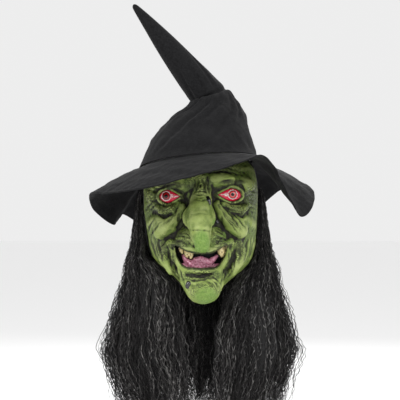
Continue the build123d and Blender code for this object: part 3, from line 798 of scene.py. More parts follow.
def latex_paint():
    """Green latex: yellow-green ridges with painted highlight, brown-black paint and painted shade in the
    folds, brighter nose and chin.
    """
    p = Paint("latex_green_paint", 0.45)
    patches = p.noise(38, 5)
    flecks = p.noise(420, 6, roughness=0.65)
    streaks = p.noise(190, 4, (1, 1, 0.45))
    cracks = p.node("ShaderNodeTexVoronoi", feature="DISTANCE_TO_EDGE")
    cracks.inputs["Scale"].default_value = 230
    warp = p.node("ShaderNodeTexNoise")
    warp.inputs["Scale"].default_value = 120
    p.join(p.place(), warp.inputs["Vector"])
    warped = p.node("ShaderNodeMix", data_type="VECTOR")
    warped.inputs[0].default_value = 0.012
    p.join(p.place((1, 1, 1.5)), warped.inputs[4])
    p.join(warp.outputs["Color"], warped.inputs[5])
    p.join(warped.outputs[1], cracks.inputs["Vector"])
    crack = p.ramp(cracks.outputs["Distance"], 0.0, 0.16, 1.0, 0.0)
    # painted highlight: the lighter yellow-green goes on the ridges of the broad forms, mixed with random
    # patches
    ridge = p.ramp(p.value("broad"), 0.25, -0.75)
    light = p.mix(p.ramp(patches, 0.35, 0.65), (0.235, 0.310, 0.070), (0.340, 0.410, 0.135))
    middle = p.mix(p.ramp(flecks, 0.4, 0.65), (0.095, 0.150, 0.026), (0.175, 0.240, 0.050))
    green = p.mix(p.ramp(p.sum(ridge, p.less(patches, 0.5)), 0.15, 0.95), middle, light)
    fresh = p.mix(p.ramp(flecks, 0.35, 0.65), (0.110, 0.220, 0.030), (0.200, 0.310, 0.065))
    green = p.mix(p.value("fresh"), green, fresh)
    # the folds, wrinkles and fine cracks darken to olive and near black: partly the latex's own brown-black
    # paint, partly painted shade in the hollows, together with the brim's painted shadow and the other
    # painted shade of the face
    folds = p.most(p.ramp(p.value("fine"), 0.02, 0.22), p.ramp(p.value("broad"), 0.10, 0.75))
    folds = p.most(folds, p.times(p.value("creased"), 0.68))
    folds = p.most(folds, p.value("painted_shade"))
    lines = p.times(crack, p.ramp(p.value("crackled"), 0.0, 1.0, 0.14, 0.72))
    folds = p.most(folds, p.times(lines, p.ramp(p.value("fresh"), 0.0, 1.0, 1.0, 0.2)))
    dark_paint_and_shade = p.times(folds, p.ramp(streaks, 0.3, 0.75, 0.68, 1.3))
    olive = p.mix(p.ramp(dark_paint_and_shade, 0.05, 0.55), green, (0.042, 0.055, 0.014))
    darkened_green = p.mix(p.ramp(dark_paint_and_shade, 0.5, 1.0), olive, (0.008, 0.006, 0.004))
    dusty = p.times(p.value("dust"), p.ramp(flecks, 0.52, 0.64))
    p.colour(p.mix(dusty, darkened_green, (0.40, 0.43, 0.36)))
    p.gloss(p.ramp(dark_paint_and_shade, 0.1, 0.9, 0.42, 0.6))
    p.set(Specular_IOR_Level=0.35, Subsurface_Weight=0.03, Subsurface_Radius=(0.004, 0.004, 0.001))
    skin = p.bump(p.noise(900, 3), 0.5, 0.35)
    skin = p.bump(p.less(1.0, crack), 0.8, 0.5, skin)
    p.bump(p.sum(flecks, streaks), 0.9, 0.45, skin)
    return p.material


def eye_paint():
    """Glossy painted eye: black pupil, red iris with spokes, white with red veins, red outer band, painted
    shade at the lids' edge, and a painted shadow that darkens the wearer's right eye.
    """
    p = Paint("eye_paint", 0.12)
    r = p.value("pupil_r")
    spokes = p.noise(300, 3)
    veins = p.noise(330, 5, (1, 1, 2.6), 0.7)
    white = p.mix(p.ramp(veins, 0.45, 0.58), (0.74, 0.72, 0.70), (0.60, 0.06, 0.09))
    band = p.sum(p.value("band"), p.ramp(veins, 0.3, 0.7, -0.35, 0.35))
    white = p.mix(p.ramp(band, 0.35, 0.75), white, (0.66, 0.014, 0.050))
    # painted shade: the white turns dark red towards the lids' edge, where the ball goes in under the lids
    white = p.mix(p.ramp(p.value("rim"), 0.84, 1.0), white, (0.16, 0.005, 0.010))
    red = p.mix(p.ramp(spokes, 0.35, 0.65), (0.40, 0.006, 0.010), (0.74, 0.040, 0.050))
    # painted shadow: the wearer's right eye lies in the shade of its brow and the hat brim, so its iris gets
    # a darker red copy and no pink middle
    shaded_red = p.mix(p.ramp(spokes, 0.4, 0.6), (0.10, 0.002, 0.003), (0.34, 0.008, 0.012))
    iris = p.mix(p.value("in_shadow"), red, shaded_red)
    ringed = p.mix(p.ramp(r, 5.0, 5.7), iris, (0.05, 0.002, 0.003))
    pink = p.mix(p.ramp(r, 2.9, 3.9), (0.62, 0.22, 0.18), ringed)
    iris = p.mix(p.value("in_shadow"), pink, ringed)
    whole = p.mix(p.ramp(r, 6.0, 6.6), iris, white)
    p.colour(p.mix(p.ramp(r, 2.5, 3.0), (0.001, 0.001, 0.001), whole))
    p.set(Specular_IOR_Level=0.3, Coat_Weight=0.3, Coat_Roughness=0.05)
    return p.material


def tooth_paint():
    """Yellowed enamel, browner at the root; the pits go near black, with rot in the holes and painted shade
    in the hollows.
    """
    p = Paint("tooth_paint", 0.22)
    stain = p.noise(420, 5)
    base = p.mix(p.ramp(stain, 0.35, 0.7), (0.90, 0.78, 0.42), (0.74, 0.56, 0.22))
    # near-black pits: rot in the holes, and painted shade in every hollow
    p.colour(p.mix(p.ramp(p.value("pit"), 0.02, 0.45), base, (0.035, 0.018, 0.006)))
    p.set(Coat_Weight=0.6, Coat_Roughness=0.1)
    p.bump(stain, 0.3, 0.3)
    return p.material


def flesh_paint():
    """Wet pink rubber of the tongue and gums, darkened with painted shade in its grooves."""
    p = Paint("flesh_paint", 0.3)
    blotch = p.noise(300, 5)
    base = p.mix(p.ramp(blotch, 0.35, 0.65), (0.45, 0.12, 0.20), (0.70, 0.32, 0.42))
    # painted shade: darker in the grooves and hollows
    p.colour(p.mix(p.ramp(p.value("pit"), 0.02, 0.5), base, (0.16, 0.01, 0.03)))
    p.set(Coat_Weight=0.5, Coat_Roughness=0.15)
    p.bump(blotch, 0.5, 0.4)
    return p.material


def wart_paint():
    """Glossy black rubber with a hint of green where the paint is thin."""
    p = Paint("wart_paint", 0.18)
    p.colour(p.mix(p.ramp(p.noise(300, 4), 0.55, 0.75), (0.006, 0.006, 0.007), (0.022, 0.035, 0.012)))
    p.set(Coat_Weight=0.8, Coat_Roughness=0.08)
    p.bump(p.noise(500, 3), 0.4, 0.4)
    return p.material


def hat_paint():
    """Matte black woven cloth: fine crossing threads, dusty grey lift and worn streaks."""
    p = Paint("hat_cloth_paint", 0.82)
    threads = []
    for stretch in ((1, 1, 0.12), (0.16, 0.16, 1)):
        threads.append(p.noise(1500, 2, stretch))
    weave = p.times(threads[0], threads[1])
    broad = p.noise(26, 4)
    base = p.mix(p.ramp(weave, 0.16, 0.36), (0.0022, 0.0022, 0.0026), (0.0105, 0.0105, 0.0115))
    p.colour(p.mix(p.ramp(broad, 0.45, 0.75, 0, 0.5), base, (0.0100, 0.0100, 0.0108)))
    p.set(Sheen_Weight=0.03, Sheen_Roughness=0.6, Specular_IOR_Level=0.14)
    cloth = p.bump(weave, 0.8, 0.5)
    p.bump(p.noise(70, 3, (1, 1, 0.5)), 2.0, 0.35, cloth)
    return p.material


def net_paint():
    """Black stretch net of the cap, bands and pouch."""
    p = Paint("stretch_net_paint", 0.7)
    mesh = p.node("ShaderNodeTexVoronoi", feature="DISTANCE_TO_EDGE")
    mesh.inputs["Scale"].default_value = 420
    p.join(p.place(), mesh.inputs["Vector"])
    holes = p.ramp(mesh.outputs["Distance"], 0.02, 0.2)
    p.colour(p.mix(holes, (0.020, 0.020, 0.022), (0.0035, 0.0035, 0.004)))
    p.set(Sheen_Weight=0.1)
    p.bump(p.less(1.0, holes), 0.6, 0.6)
    return p.material


def hair_paint():
    """Dark crimped fibre, each strand with its own tone from black to grey; the grey strands are partly the
    hair's own grey and partly painted highlight, broken into painted glints.
    """
    p = Paint("hair_paint", 0.42)
    tone = p.value("tone")
    # painted glints: the grey strands light up only in flecks, as crimped hair catches the light
    painted_glint = p.ramp(p.noise(150, 2), 0.44, 0.60, 0.22, 1.0)
    dark = p.mix(p.ramp(tone, 0.0, 0.7), (0.0024, 0.0022, 0.0024), (0.024, 0.022, 0.022))
    p.colour(p.mix(p.times(p.ramp(tone, 0.72, 1.0), painted_glint), dark, (0.30, 0.29, 0.28)))
    p.set(Specular_IOR_Level=0.3, Anisotropic=0.5)
    p.bump(p.noise(1400, 2, (1, 1, 0.2)), 0.3, 0.4)
    return p.material


def wrap(obj, material):
    """Gives an object one material."""
    obj.data.materials.clear()
    obj.data.materials.append(material)


# Patches of finely wrinkled skin: middle and half sizes, seen from the front.
FINE_SKIN = [
    (-54, 150, 20, 12), (58, 150, 22, 12), (-30, 104, 18, 14), (32, 104, 18, 14), (-4, 190, 24, 16),
    (-78, 172, 14, 18), (80, 170, 12, 18), (0, 47, 34, 8), (-56, 88, 12, 22), (58, 88, 12, 22),
    (6, 22, 24, 14),
]
# Places darkened with painted shade, among them the hat brim's painted shadow over the brows and the top of
# the forehead: middle, half sizes and strength, seen from the front.
SHADE_PATCHES = [
    (-47, 186, 26, 8, 0.75), (-26, 166, 8, 9, 0.7), (22, 170, 6, 12, 0.75), (48, 191, 26, 5, 0.75),
    (72, 168, 5, 16, 0.5), (-76, 163, 12, 20, 0.45), (-12, 183, 12, 7, 0.6), (14, 190, 4, 12, 0.6),
    (-34, 132, 3.5, 12, 0.8), (33, 128, 3, 12, 0.75), (-58, 90, 6, 11, 0.6), (59, 90, 5, 11, 0.6),
    (-42, 70, 4, 20, 0.6), (44, 68, 3, 20, 0.5), (-2, 47, 24, 2.5, 0.75), (0, 214, 90, 14, 0.6),
    (-56, 139, 12, 4, 0.6), (66, 140, 14, 5, 0.5),
]


# ---------------------------------------------------------------- eyes, teeth, tongue, warts
def paint_masks(face):
    """Stores where the face is freshly green, darkened with painted shade, finely crackled or dusted grey.
    """
    x, y, z = points_of(face).T
    tip = spot(x, z, (2, 96), (15, 24), 1.15, 0.6) * (y < -104)
    chin = spot(x, z, (9, 14), (22, 18), 1.2, 0.5) * (y < -84)
    wing = spot(x, z, (26, 128), (9, 9), 1.2, 0.5)
    muzzle = spot(x, z, (40, 106), (20, 10), 1.3, 0.4) * 0.6
    set_attribute(face, "fresh", np.max([tip, chin * 0.9, wing, muzzle], axis=0))
    shade = np.zeros(len(x))
    for cx, cz, rx, rz, strength in SHADE_PATCHES:
        shade = np.maximum(shade, strength * spot(x, z, (cx, cz), (rx, rz), 1.35, 0.35))
    # painted shade round the mouth and the eyes, and more of it towards the back of the skin
    lips = smoothstep(mouth_gap(x, z), 5.5, 1.0) * (np.abs(x) < 50) * 0.85
    lids = np.max([smoothstep(eye_gap(eye, x, z), 1.30, 1.02) for eye in EYES.values()], axis=0) * 0.7
    shade = np.maximum(shade, np.maximum(lips, lids) * (y < -50))
    back = smoothstep(y, -30, 10) * 0.35
    inner = np.clip(np.maximum(shade, back), 0, 1)
    set_attribute(face, "painted_shade", inner * (0.75 + 0.25 * smooth_noise(np.stack([x, y, z], 1), 6, 5)))
    fine_skin = np.zeros(len(x))
    for cx, cz, rx, rz in FINE_SKIN:
        fine_skin = np.maximum(fine_skin, spot(x, z, (cx, cz), (rx, rz), 1.3, 0.6))
    set_attribute(face, "crackled", fine_skin)
    temple = spot(x, z, (82, 171), (13, 22), 1.2, 0.5)
    set_attribute(face, "dust", temple * 0.75)


def make_eye(name, eye, clay):
    """A glossy eyeball that bulges between its lids, with the distances that its paint needs."""
    cx, cz = eye["centre"]
    a, b = eye["half"]
    rim = []
    for turn in np.linspace(0, 2 * math.pi, 24, endpoint=False):
        x, z = cx + 1.1 * a * math.cos(turn), cz + 1.1 * b * math.sin(turn)
        rim.append((1, x - cx, z - cz, front_of(clay, x, z)))
    rim = np.array(rim)
    middle, slope_x, slope_z = np.linalg.lstsq(rim[:, :3], rim[:, 3], rcond=None)[0]
    rings, columns = 90, 160
    reach = np.linspace(0, 1.42, rings)[:, None]
    turn = np.linspace(0, 2 * math.pi, columns, endpoint=False)[None, :]
    u, v = reach * np.cos(turn) * a, reach * np.sin(turn) * b
    y = middle + slope_x * u + slope_z * v + EYE_BEHIND - EYE_BULGE * (1 - reach**2)
    y = y + 30 * np.clip(reach - 1.1, 0, 1) * (1 + np.abs(np.cos(turn)))
    verts = np.stack([cx + u, y, cz + v], axis=-1).reshape(-1, 3)
    ball = new_object(name + "_ball", verts, grid_faces(rings, columns))
    add_thickness(ball, EYE_WALL, offset=1)
    verts = points_of(ball)
    x, z = verts[:, 0], verts[:, 2]
    set_attribute(ball, "pupil_r", np.hypot(x - cx - eye["pupil"][0], z - cz - eye["pupil"][1]))
    inwards = (cx + eye["pupil"][0] - x) * eye["side"]
    dz = np.abs(z - cz - eye["pupil"][1])
    wedge = smoothstep(dz, 6.0 - 0.26 * inwards, 4.2 - 0.26 * inwards) * (inwards > 0)
    ring = smoothstep(np.hypot(inwards, dz), 8.6, 6.8) * 0.8
    set_attribute(ball, "band", 1 - np.maximum(wedge, ring))
    set_attribute(ball, "rim", eye_gap(eye, x, z))
    # painted shadow: marks the wearer's right eye, which the paint makes darker
    set_attribute(ball, "in_shadow", np.full(len(verts), 1.0 if eye["side"] < 0 else 0.0))
    wrap(ball, EYE_PAINT)
    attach(ball, "mask")
    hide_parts(name)


def small_piece(name, low, high, step, shape, material, node, lumps=0.0):
    """A small sculpted piece with its pits stored for its paint."""
    clay = Clay(low, high, step)
    shape(clay)
    verts, quads = clay.surface()
    normals = normals_of(verts, quads)
    if lumps:
        verts = verts + normals * (smooth_noise(verts, 3.0, 11) * lumps)[:, None]
    near = Neighbours(len(verts), quads)
    fine, broad = curvature(verts, quads, near)
    piece = new_object(name, verts, quads)
    set_attribute(piece, "pit", fine + 0.6 * broad)
    wrap(piece, material)
    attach(piece, "mask")
    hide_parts(node)


def canine(clay):
    """A small pointed tooth."""
    clay.roll([(-31, -73, 88), (-30, -74.5, 84), (-28.6, -75, 80.5)], [3.4, 3.2, 1.6], 1)


def double_tooth(clay):
    """A chipped molar with two cusps and dark pits."""
    clay.roll([(-22, -75, 85), (-21.6, -76.5, 79), (-20.8, -77, 75.5)], [4.2, 4.0, 2.6], 1.2)
    clay.roll([(-15, -76, 85), (-14.8, -77.5, 78), (-15.2, -78, 73.5)], [4.2, 4.0, 2.6], 1.2)
    clay.dent((-20.5, -80.6, 78.5), (1.5, 1.6, 1.7), 0.6)
    clay.dent((-15.0, -81.6, 77.5), (1.3, 1.6, 1.5), 0.6)
    clay.dent((-18, -79.5, 73.5), (1.2, 3, 2.6), 0.6)


def left_molar(clay):
    """A big molar with a rotten hole."""
    clay.roll([(31, -75, 89), (32.4, -76.5, 82), (33.4, -76.5, 77)], [5.6, 5.6, 3.4], 1.2)
    clay.roll([(36, -73, 88), (36.4, -74.5, 82), (36, -74.5, 78)], [3.6, 3.4, 2.2], 1.2)
    clay.dent((33.4, -82.0, 81.5), (1.7, 1.9, 3.0), 0.6)


def back_molar(clay):
    """A dark little tooth far back."""
    clay.roll([(40, -70, 91), (40.2, -71, 86), (40, -71, 83.5)], [3.0, 2.8, 1.8], 1)


def tongue_and_gums(clay):
    """A pink tongue humped on both sides, lying on the gum."""
    clay.roll([(-28, -71, 60), (0, -76, 58), (28, -71, 60)], [4, 5, 4], 4)
    clay.roll([(-27, -71, 76), (-23, -73, 69), (-14, -75, 63)], [2.2, 4.2, 5], 4)
    clay.roll(
        [(-14, -76, 63), (-7, -77, 69), (0, -77, 72), (8, -77, 68), (12, -76, 63)],
        [4.5, 5, 4.2, 5, 4.5], 3,
    )
    clay.roll([(12, -76, 64), (19, -75, 70), (25, -73, 75)], [4.5, 4.6, 2.6], 3)
    clay.ball((0, -73, 63), (16, 7, 8), 4)
    clay.groove([(-22, -76.5, 74), (-15, -80.5, 67), (-11, -82, 61)], [0.8, 1.3, 0.8], 1.2)
    clay.groove([(-1, -83, 76), (3, -83, 68), (5, -82.5, 60)], [0.7, 1.4, 0.8], 1.4)
    clay.groove([(20, -80.5, 74), (17, -81, 66), (17, -80.5, 60)], [0.7, 1.2, 0.8], 1.2)


def make_wart(name, path, radii, clay):
    """A glossy lump that sits on the skin along a short path."""
    points = [(x, front_of(clay, x, z) + 0.6, z) for x, z in path]
    low = np.min(points, axis=0) - max(radii) - 3
    high = np.max(points, axis=0) + max(radii) + 3

    def lump(piece):
        piece.roll(points, radii, 1)

    small_piece(name + "_lump", low, high, WART_STEP, lump, WART_PAINT, name, 0.25)


# ---------------------------------------------------------------- cap
# Half width, front and back of the cap by height.
CAP_Z = [40, 58, 80, 96, 112, 132, 150, 170, 188, 214, 236, 252, 260, 266]
CAP_HALF = [58, 68, 83, 87, 89, 90, 91, 92, 92, 87, 71, 45, 18, 4]
CAP_FRONT = [80, 82, 84, 85, 85, 86, 86, 87, 88, 82, 64, 38, 14, 4]
CAP_BACK = [78, 84, 90, 93, 96, 99, 101, 102, 102, 97, 79, 49, 18, 4]


def make_cap():
    """The stretch cap behind the face, with its middle seam and gathered nape."""
    clay = Clay((-98, -40, 40), (98, 108, 264), CAP_STEP)
    x, y, z = clay.whole()
    half, front, back = (np.interp(z, CAP_Z, table) for table in (CAP_HALF, CAP_FRONT, CAP_BACK))
    depth = np.where(y < 0, front, back)
    gathers = 0.5 * np.sin(np.arctan2(x, y) * 46) * smoothstep(z, 92, 62)
    clay.field = (egg(x, y, half, depth) + gathers).astype(np.float32)
    clay.roll([(0, 20, 258), (0, 55, 250), (0, 84, 226), (0, 99, 180), (0, 97, 130), (0, 90, 70)], 1.6, 2)
    clay.trim(-(clay.field + CAP_WALL))
    clay.trim(CAP_START - EDGE_LEAN * z - y)
    clay.trim(NAPE_HEIGHT - NAPE_LEAN * y - z)
    verts, quads = clay.surface()
    cap = new_object("cap_net", verts, quads)
    wrap(cap, NET_PAINT)
    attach(cap, "mask")
    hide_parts("wig_cap")


# ---------------------------------------------------------------- hat
def seam_point(angle, inset=0.0):
    """A point of the crown's seam; the angle goes from the front to the wearer's left, in radians."""
    x = SEAM_X + (SEAM_RX - inset) * np.sin(angle)
    y = SEAM_Y - (SEAM_RY - inset) * np.cos(angle)
    z = SEAM_Z + 9 * (x - SEAM_X) / SEAM_RX - 13 * (y - SEAM_Y) / SEAM_RY
    return np.stack([x, y, z], axis=-1)


# Sections of the cone: centre, lean to the wearer's right in degrees, half width, half depth.
CONE = [
    ((1.0, 6.5, 245), 0, 87.2, 94.5),
    ((3.5, 9.5, 262), 0, 80.5, 84),
    ((8.0, 11.5, 282), 0, 69.5, 69),
    ((13.5, 13, 298), 0, 59, 57),
    ((18.0, 14, 312), 3, 46.5, 46),
    ((18.5, 15, 323), 9, 35.5, 37),
    ((16.5, 16, 331), 17, 30.5, 30),
    ((15.0, 17, 331.5), 23, 28.0, 26.5),
    ((12.0, 17, 334), 33, 27.8, 26.0),
    ((6.5, 16.5, 339), 39, 28.0, 25.5),
    ((-4.5, 16, 351.5), 39, 27.0, 24.5),
    ((-19.0, 15.5, 369), 39, 24.5, 22),
    ((-37.0, 15, 391), 39, 21.4, 18.5),
    ((-58.0, 14.5, 417), 39, 17.2, 14.5),
    ((-79.0, 14, 443), 38, 12.0, 10.5),
    ((-98.0, 14, 466), 38, 7.0, 6.6),
    ((-106.0, 14, 475.5), 38, 4.4, 4.3),
    ((-108.0, 14, 478.2), 38, 2.2, 2.2),
]


# Creases of the cone: direction round the hat, level of the cone's sections, width and depth.
FOLD_CREASES = [
    (-0.9, 5.0, 0.10, 2.2), (-0.35, 4.4, 0.09, 2.0), (0.15, 4.9, 0.10, 1.8), (0.65, 4.2, 0.11, 1.8),
    (-1.4, 3.4, 0.08, 1.6), (1.15, 5.2, 0.10, 1.6), (-0.1, 9.8, 0.12, 1.5), (0.7, 10.2, 0.12, 1.4),
    (-0.8, 10.6, 0.12, 1.3), (2.2, 4.8, 0.12, 1.8), (3.0, 4.2, 0.10, 1.6), (-2.2, 4.6, 0.11, 1.8),
    (2.6, 9.8, 0.13, 1.4), (-2.6, 10.2, 0.13, 1.3), (0.35, 2.6, 0.07, 1.3), (-0.6, 2.4, 0.07, 1.2),
]


def cone_relief(level, turn, flat_points):
    """How far the cloth stands out of the smooth cone, by section level and by direction."""
    out = np.zeros((CONE_ROWS, CONE_COLUMNS))
    # the tuck of the fold: a roll of cloth over a hollow, deep on the wearer's right and front
    side = 0.35 + 0.65 * smoothstep(np.cos(turn + 1.0), -0.6, 0.7)
    out += 3.4 * side * np.exp(-(((level - 6.35) / 0.6) ** 2))
    out -= 4.6 * side * np.exp(-(((level - 8.0) / 0.66) ** 2))
    # creases that fan out from the fold over the crown and up the peak
    for tilt, start, width, depth in FOLD_CREASES:
        centre = tilt + 0.16 * (level - start)
        gap = np.angle(np.exp(1j * (turn - centre)))
        life = smoothstep(level, start - 2.4, start - 0.6) * smoothstep(level, start + 3.2, start + 0.8)
        out -= 1.3 * depth * life * np.exp(-((gap / width) ** 2))
        out += 0.6 * depth * life * np.exp(-(((gap - 1.8 * width) / width) ** 2))
    for height, size, seed, start in ((1.3, 44, 21, 1.5), (0.5, 17, 22, 1.0)):
        lumps = height * smooth_noise(flat_points, size, seed).reshape(out.shape)
        out += lumps * smoothstep(level, 0.0, start) * smoothstep(level, 13, 8)
    return out


def make_cone():
    """The crown and the bent peak as one sheet of cloth, tucked and wrinkled at the fold."""
    rows, columns = CONE_ROWS, CONE_COLUMNS
    angle = np.linspace(0, 2 * math.pi, columns, endpoint=False)
    rings = [seam_point(angle)]
    for centre, lean, rx, ry in CONE:
        t = math.radians(lean)
        across = np.array([math.cos(t), 0, math.sin(t)])
        ring = np.array(centre) + rx * np.sin(angle)[:, None] * across
        ring[:, 1] -= ry * np.cos(angle)
        rings.append(ring)
    rings = np.array(rings)
    span = np.cumsum([0] + [np.linalg.norm((b - a).mean(0)) + 2 for a, b in zip(rings[:-1], rings[1:])])
    where = np.interp(np.linspace(0, span[-1], rows), span, np.arange(len(rings)))
    flat_points = curve_at(rings.reshape(len(rings), -1), where).reshape(-1, 3)
    level = where[:, None]
    out = cone_relief(level, angle[None, :], flat_points)
    quads = grid_faces(rows, columns)
    normals = normals_of(flat_points, quads)
    fade = smoothstep(level, 18.0, 15.0)
    cone = flat_points + normals * (out * fade).reshape(-1)[:, None]
    tip = cone[-columns:].mean(0) + np.array([-0.6, 0, 0.9])
    cone = np.vstack([cone, tip])
    last = (rows - 1) * columns
    ends = [(last + j, last + (j + 1) % columns, rows * columns) for j in range(columns)]
    hat = new_object("hat_cone_cloth", cone, [*quads.tolist(), *ends])
    add_thickness(hat, CONE_CLOTH)
    wrap(hat, HAT_PAINT)
    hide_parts("hat_crown", "hat_peak")
    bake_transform(hat)


# Edge of the brim: direction in degrees (0 front, 90 the wearer's left), radius from the seam's middle
# and height.
BRIM_EDGE = [
    (0, 190, 200), (20, 192, 219), (30, 190, 230), (42, 176, 211), (50, 172, 184), (62, 182, 138),
    (80, 188, 162), (96, 183, 184), (112, 172, 189), (125, 165, 178), (140, 160, 152), (160, 158, 138),
    (180, 160, 134), (200, 162, 130), (218, 164, 126), (232, 162, 139), (246, 152, 122), (262, 170, 145),
    (275, 175, 166), (292, 178, 173), (308, 182, 173), (325, 186, 176), (342, 189, 185),
]


def around(values, angle):
    """A smooth closed curve through (degrees, value) pairs."""
    degrees = np.array([v[0] for v in values], dtype=float)
    numbers = np.array([v[1] for v in values], dtype=float)
    n = len(values)
    degrees = np.concatenate([degrees[-2:] - 360, degrees, degrees[:3] + 360])
    numbers = np.concatenate([numbers[-2:], numbers, numbers[:3]])
    q = np.degrees(angle) % 360
    i = np.clip(np.searchsorted(degrees, q, side="right") - 1, 1, n + 2)
    span = degrees[i + 1] - degrees[i]
    u = (q - degrees[i]) / span
    m0 = (numbers[i + 1] - numbers[i - 1]) / (degrees[i + 1] - degrees[i - 1]) * span
    m1 = (numbers[i + 2] - numbers[i]) / (degrees[i + 2] - degrees[i]) * span
    a, b = numbers[i], numbers[i + 1]
    value = a * (2 * u**3 - 3 * u**2 + 1) + m0 * (u**3 - 2 * u**2 + u)
    return value + b * (3 * u**2 - 2 * u**3) + m1 * (u**3 - u**2)


def make_brim():
    """The wide wavy brim: one stitched ring of cloth with a turned hem."""
    rows, columns = BRIM_ROWS, BRIM_COLUMNS
    angle = np.linspace(0, 2 * math.pi, columns, endpoint=False)
    radius = around([(d, r) for d, r, _ in BRIM_EDGE], angle)
    height = around([(d, z) for d, _, z in BRIM_EDGE], angle)
    rim = np.stack([SEAM_X + radius * np.sin(angle), SEAM_Y - radius * np.cos(angle), height], axis=-1)
    root = seam_point(angle, 4)
    root[:, 2] -= 1.6
    t = np.linspace(0, 1, rows)[:, None, None]
    brim = root[None] * (1 - t) + rim[None] * t
    drop = (root[:, 2] - rim[:, 2])[None, :]
    tt = t[:, :, 0]
    brim[:, :, 2] += 0.16 * drop * np.sin(math.pi * tt) * 0.5
    flat_points = brim.reshape(-1, 3)
    lift = 1.1 * smooth_noise(flat_points, 38, 31) + 0.35 * smooth_noise(flat_points, 14, 32)
    lift = lift.reshape(rows, columns) * smoothstep(tt, 0.0, 0.25)
    edge = (1 - tt) * (radius - SEAM_RX)[None, :]
    lift += 0.45 * np.exp(-(((edge - 1.6) / 1.4) ** 2))
    for line in HEM_LINES:
        lift -= 0.35 * np.exp(-(((edge - line) / 0.7) ** 2))
    quads = grid_faces(rows, columns)[:, ::-1]
    normals = normals_of(flat_points, quads)
    normals *= np.sign(normals[:, 2:3])
    cloth = new_object("hat_brim_cloth", flat_points + normals * lift.reshape(-1)[:, None], quads)
    add_thickness(cloth, BRIM_CLOTH, offset=0)
    wrap(cloth, HAT_PAINT)
    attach(cloth, "mask")
    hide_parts("hat_brim")


def make_stitches():
    """The row of thread that joins the crown to the brim."""
    verts, quads = [], []
    for i in range(STITCHES):
        a = 2 * math.pi * i / STITCHES
        b = a + 2 * math.pi / STITCHES * STITCH_SHARE
        rod(verts, quads, seam_point(np.array([a, (a + b) / 2, b]), -0.1), STITCH_RADIUS, 6)
    thread = new_object("hat_stitches", verts, quads)
    wrap(thread, HAT_PAINT)
    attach(thread, "mask")


def rod(verts, quads, path, radius, sides):
    """Adds a thin round rod along a path to lists of points and quads."""
    first = len(verts)
    for i, p in enumerate(path):
        way = path[min(i + 1, len(path) - 1)] - path[max(i - 1, 0)]
        way = way / np.linalg.norm(way)
        side = np.cross(way, (0, 0, 1.0))
        side = side / (np.linalg.norm(side) + 1e-9)
        up = np.cross(side, way)
        for j in range(sides):
            a = 2 * math.pi * j / sides
            verts.append(p + radius * (math.cos(a) * side + math.sin(a) * up))
    for i in range(len(path) - 1):
        for j in range(sides):
            k = (j + 1) % sides
            below, above = first + i * sides, first + (i + 1) * sides
            quads.append((below + j, below + k, above + k, above + j))


# ---------------------------------------------------------------- hair
# Bundle beside the face: height, middle, half widths across and through, and turn; outwards is positive.
SIDE_HAIR = [
    (182, (95, 30), (3.5, 24), 0), (168, (98, 29), (6, 24), 0), (125, (99, 31), (9, 24), 0),
    (95, (100, 29), (12, 23), 0), (72, (100, 20), (16, 21), 8), (50, (95, 7), (28, 17), 18),
    (30, (89, -4), (40, 15), 25), (-30, (88, -24), (59, 14), 20), (-76, (92, -33), (65, 13), 16),
    (-140, (80, -38), (58, 11), 12), (-210, (73, -40), (45, 8), 10),
]
# Bundle behind the head: height, step outwards, half widths across and through.
BACK_HAIR = [
    (180, -8, (42, 2.5)), (162, -5, (45, 5)), (120, -2, (46, 9)), (60, 0, (46, 13)),
    (0, 2, (47, 15)), (-70, 4, (46, 15)), (-140, 6, (42, 13)), (-210, 6, (33, 9)),
]
BACK_RADIUS = 114
BACK_TURNS = {"hair_back_right": 38, "hair_back_middle": 0, "hair_back_left": -38}


class Bundle:
    """A hank of hair given by its sections, with places in it by height and by a point of the unit disc."""

    def __init__(self, rows, place):
        rows = rows[::-1]
        self.z = np.array([row[0] for row in rows], dtype=float)
        self.middle = np.array([place(row)[0] for row in rows])
        self.across = np.array([place(row)[1] for row in rows])
        self.through = np.array([place(row)[2] for row in rows])

    def at(self, z, u, v):
        """Points at heights z and disc places u (across) and v (through)."""
        parts = []
        for table in (self.middle, self.across, self.through):
            parts.append(np.stack([np.interp(z, self.z, table[:, i]) for i in (0, 1)], axis=-1))
        xy = parts[0] + np.asarray(u)[..., None] * parts[1] + np.asarray(v)[..., None] * parts[2]
        return np.concatenate([xy, np.asarray(z)[..., None]], axis=-1)


def side_bundle(side):
    """The hank on one side of the face; side is -1 on the wearer's right."""

    def place(row):
        _, (x, y), (rx, ry), turn = row
        t = math.radians(turn)
        wide = 1.12 if side < 0 and 0 < row[0] < 60 else 1.0
        across = (side * math.cos(t) * rx * wide, math.sin(t) * rx * wide)
        through = (-side * math.sin(t) * ry, math.cos(t) * ry)
        return (side * (x - (5 if wide > 1 else 0)), y), across, through

    return Bundle(SIDE_HAIR, place)


def back_bundle(turn):
    """A hank behind the head; turn is its direction from straight back, in degrees to the wearer's right."""
    t = math.radians(turn)

    def place(row):
        _, out, (wide, deep) = row
        r = BACK_RADIUS + out
        middle = (-math.sin(t) * r, 6 + (math.cos(t) - 1) * 20 + math.cos(t) * (r - 6))
        across = (math.cos(t) * wide, math.sin(t) * wide)
        through = (-math.sin(t) * deep, math.cos(t) * deep)
        return middle, across, through

    return Bundle(BACK_HAIR, place)


def hang(hair):
    """Bakes the hair's placement into its mesh."""
    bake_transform(hair)


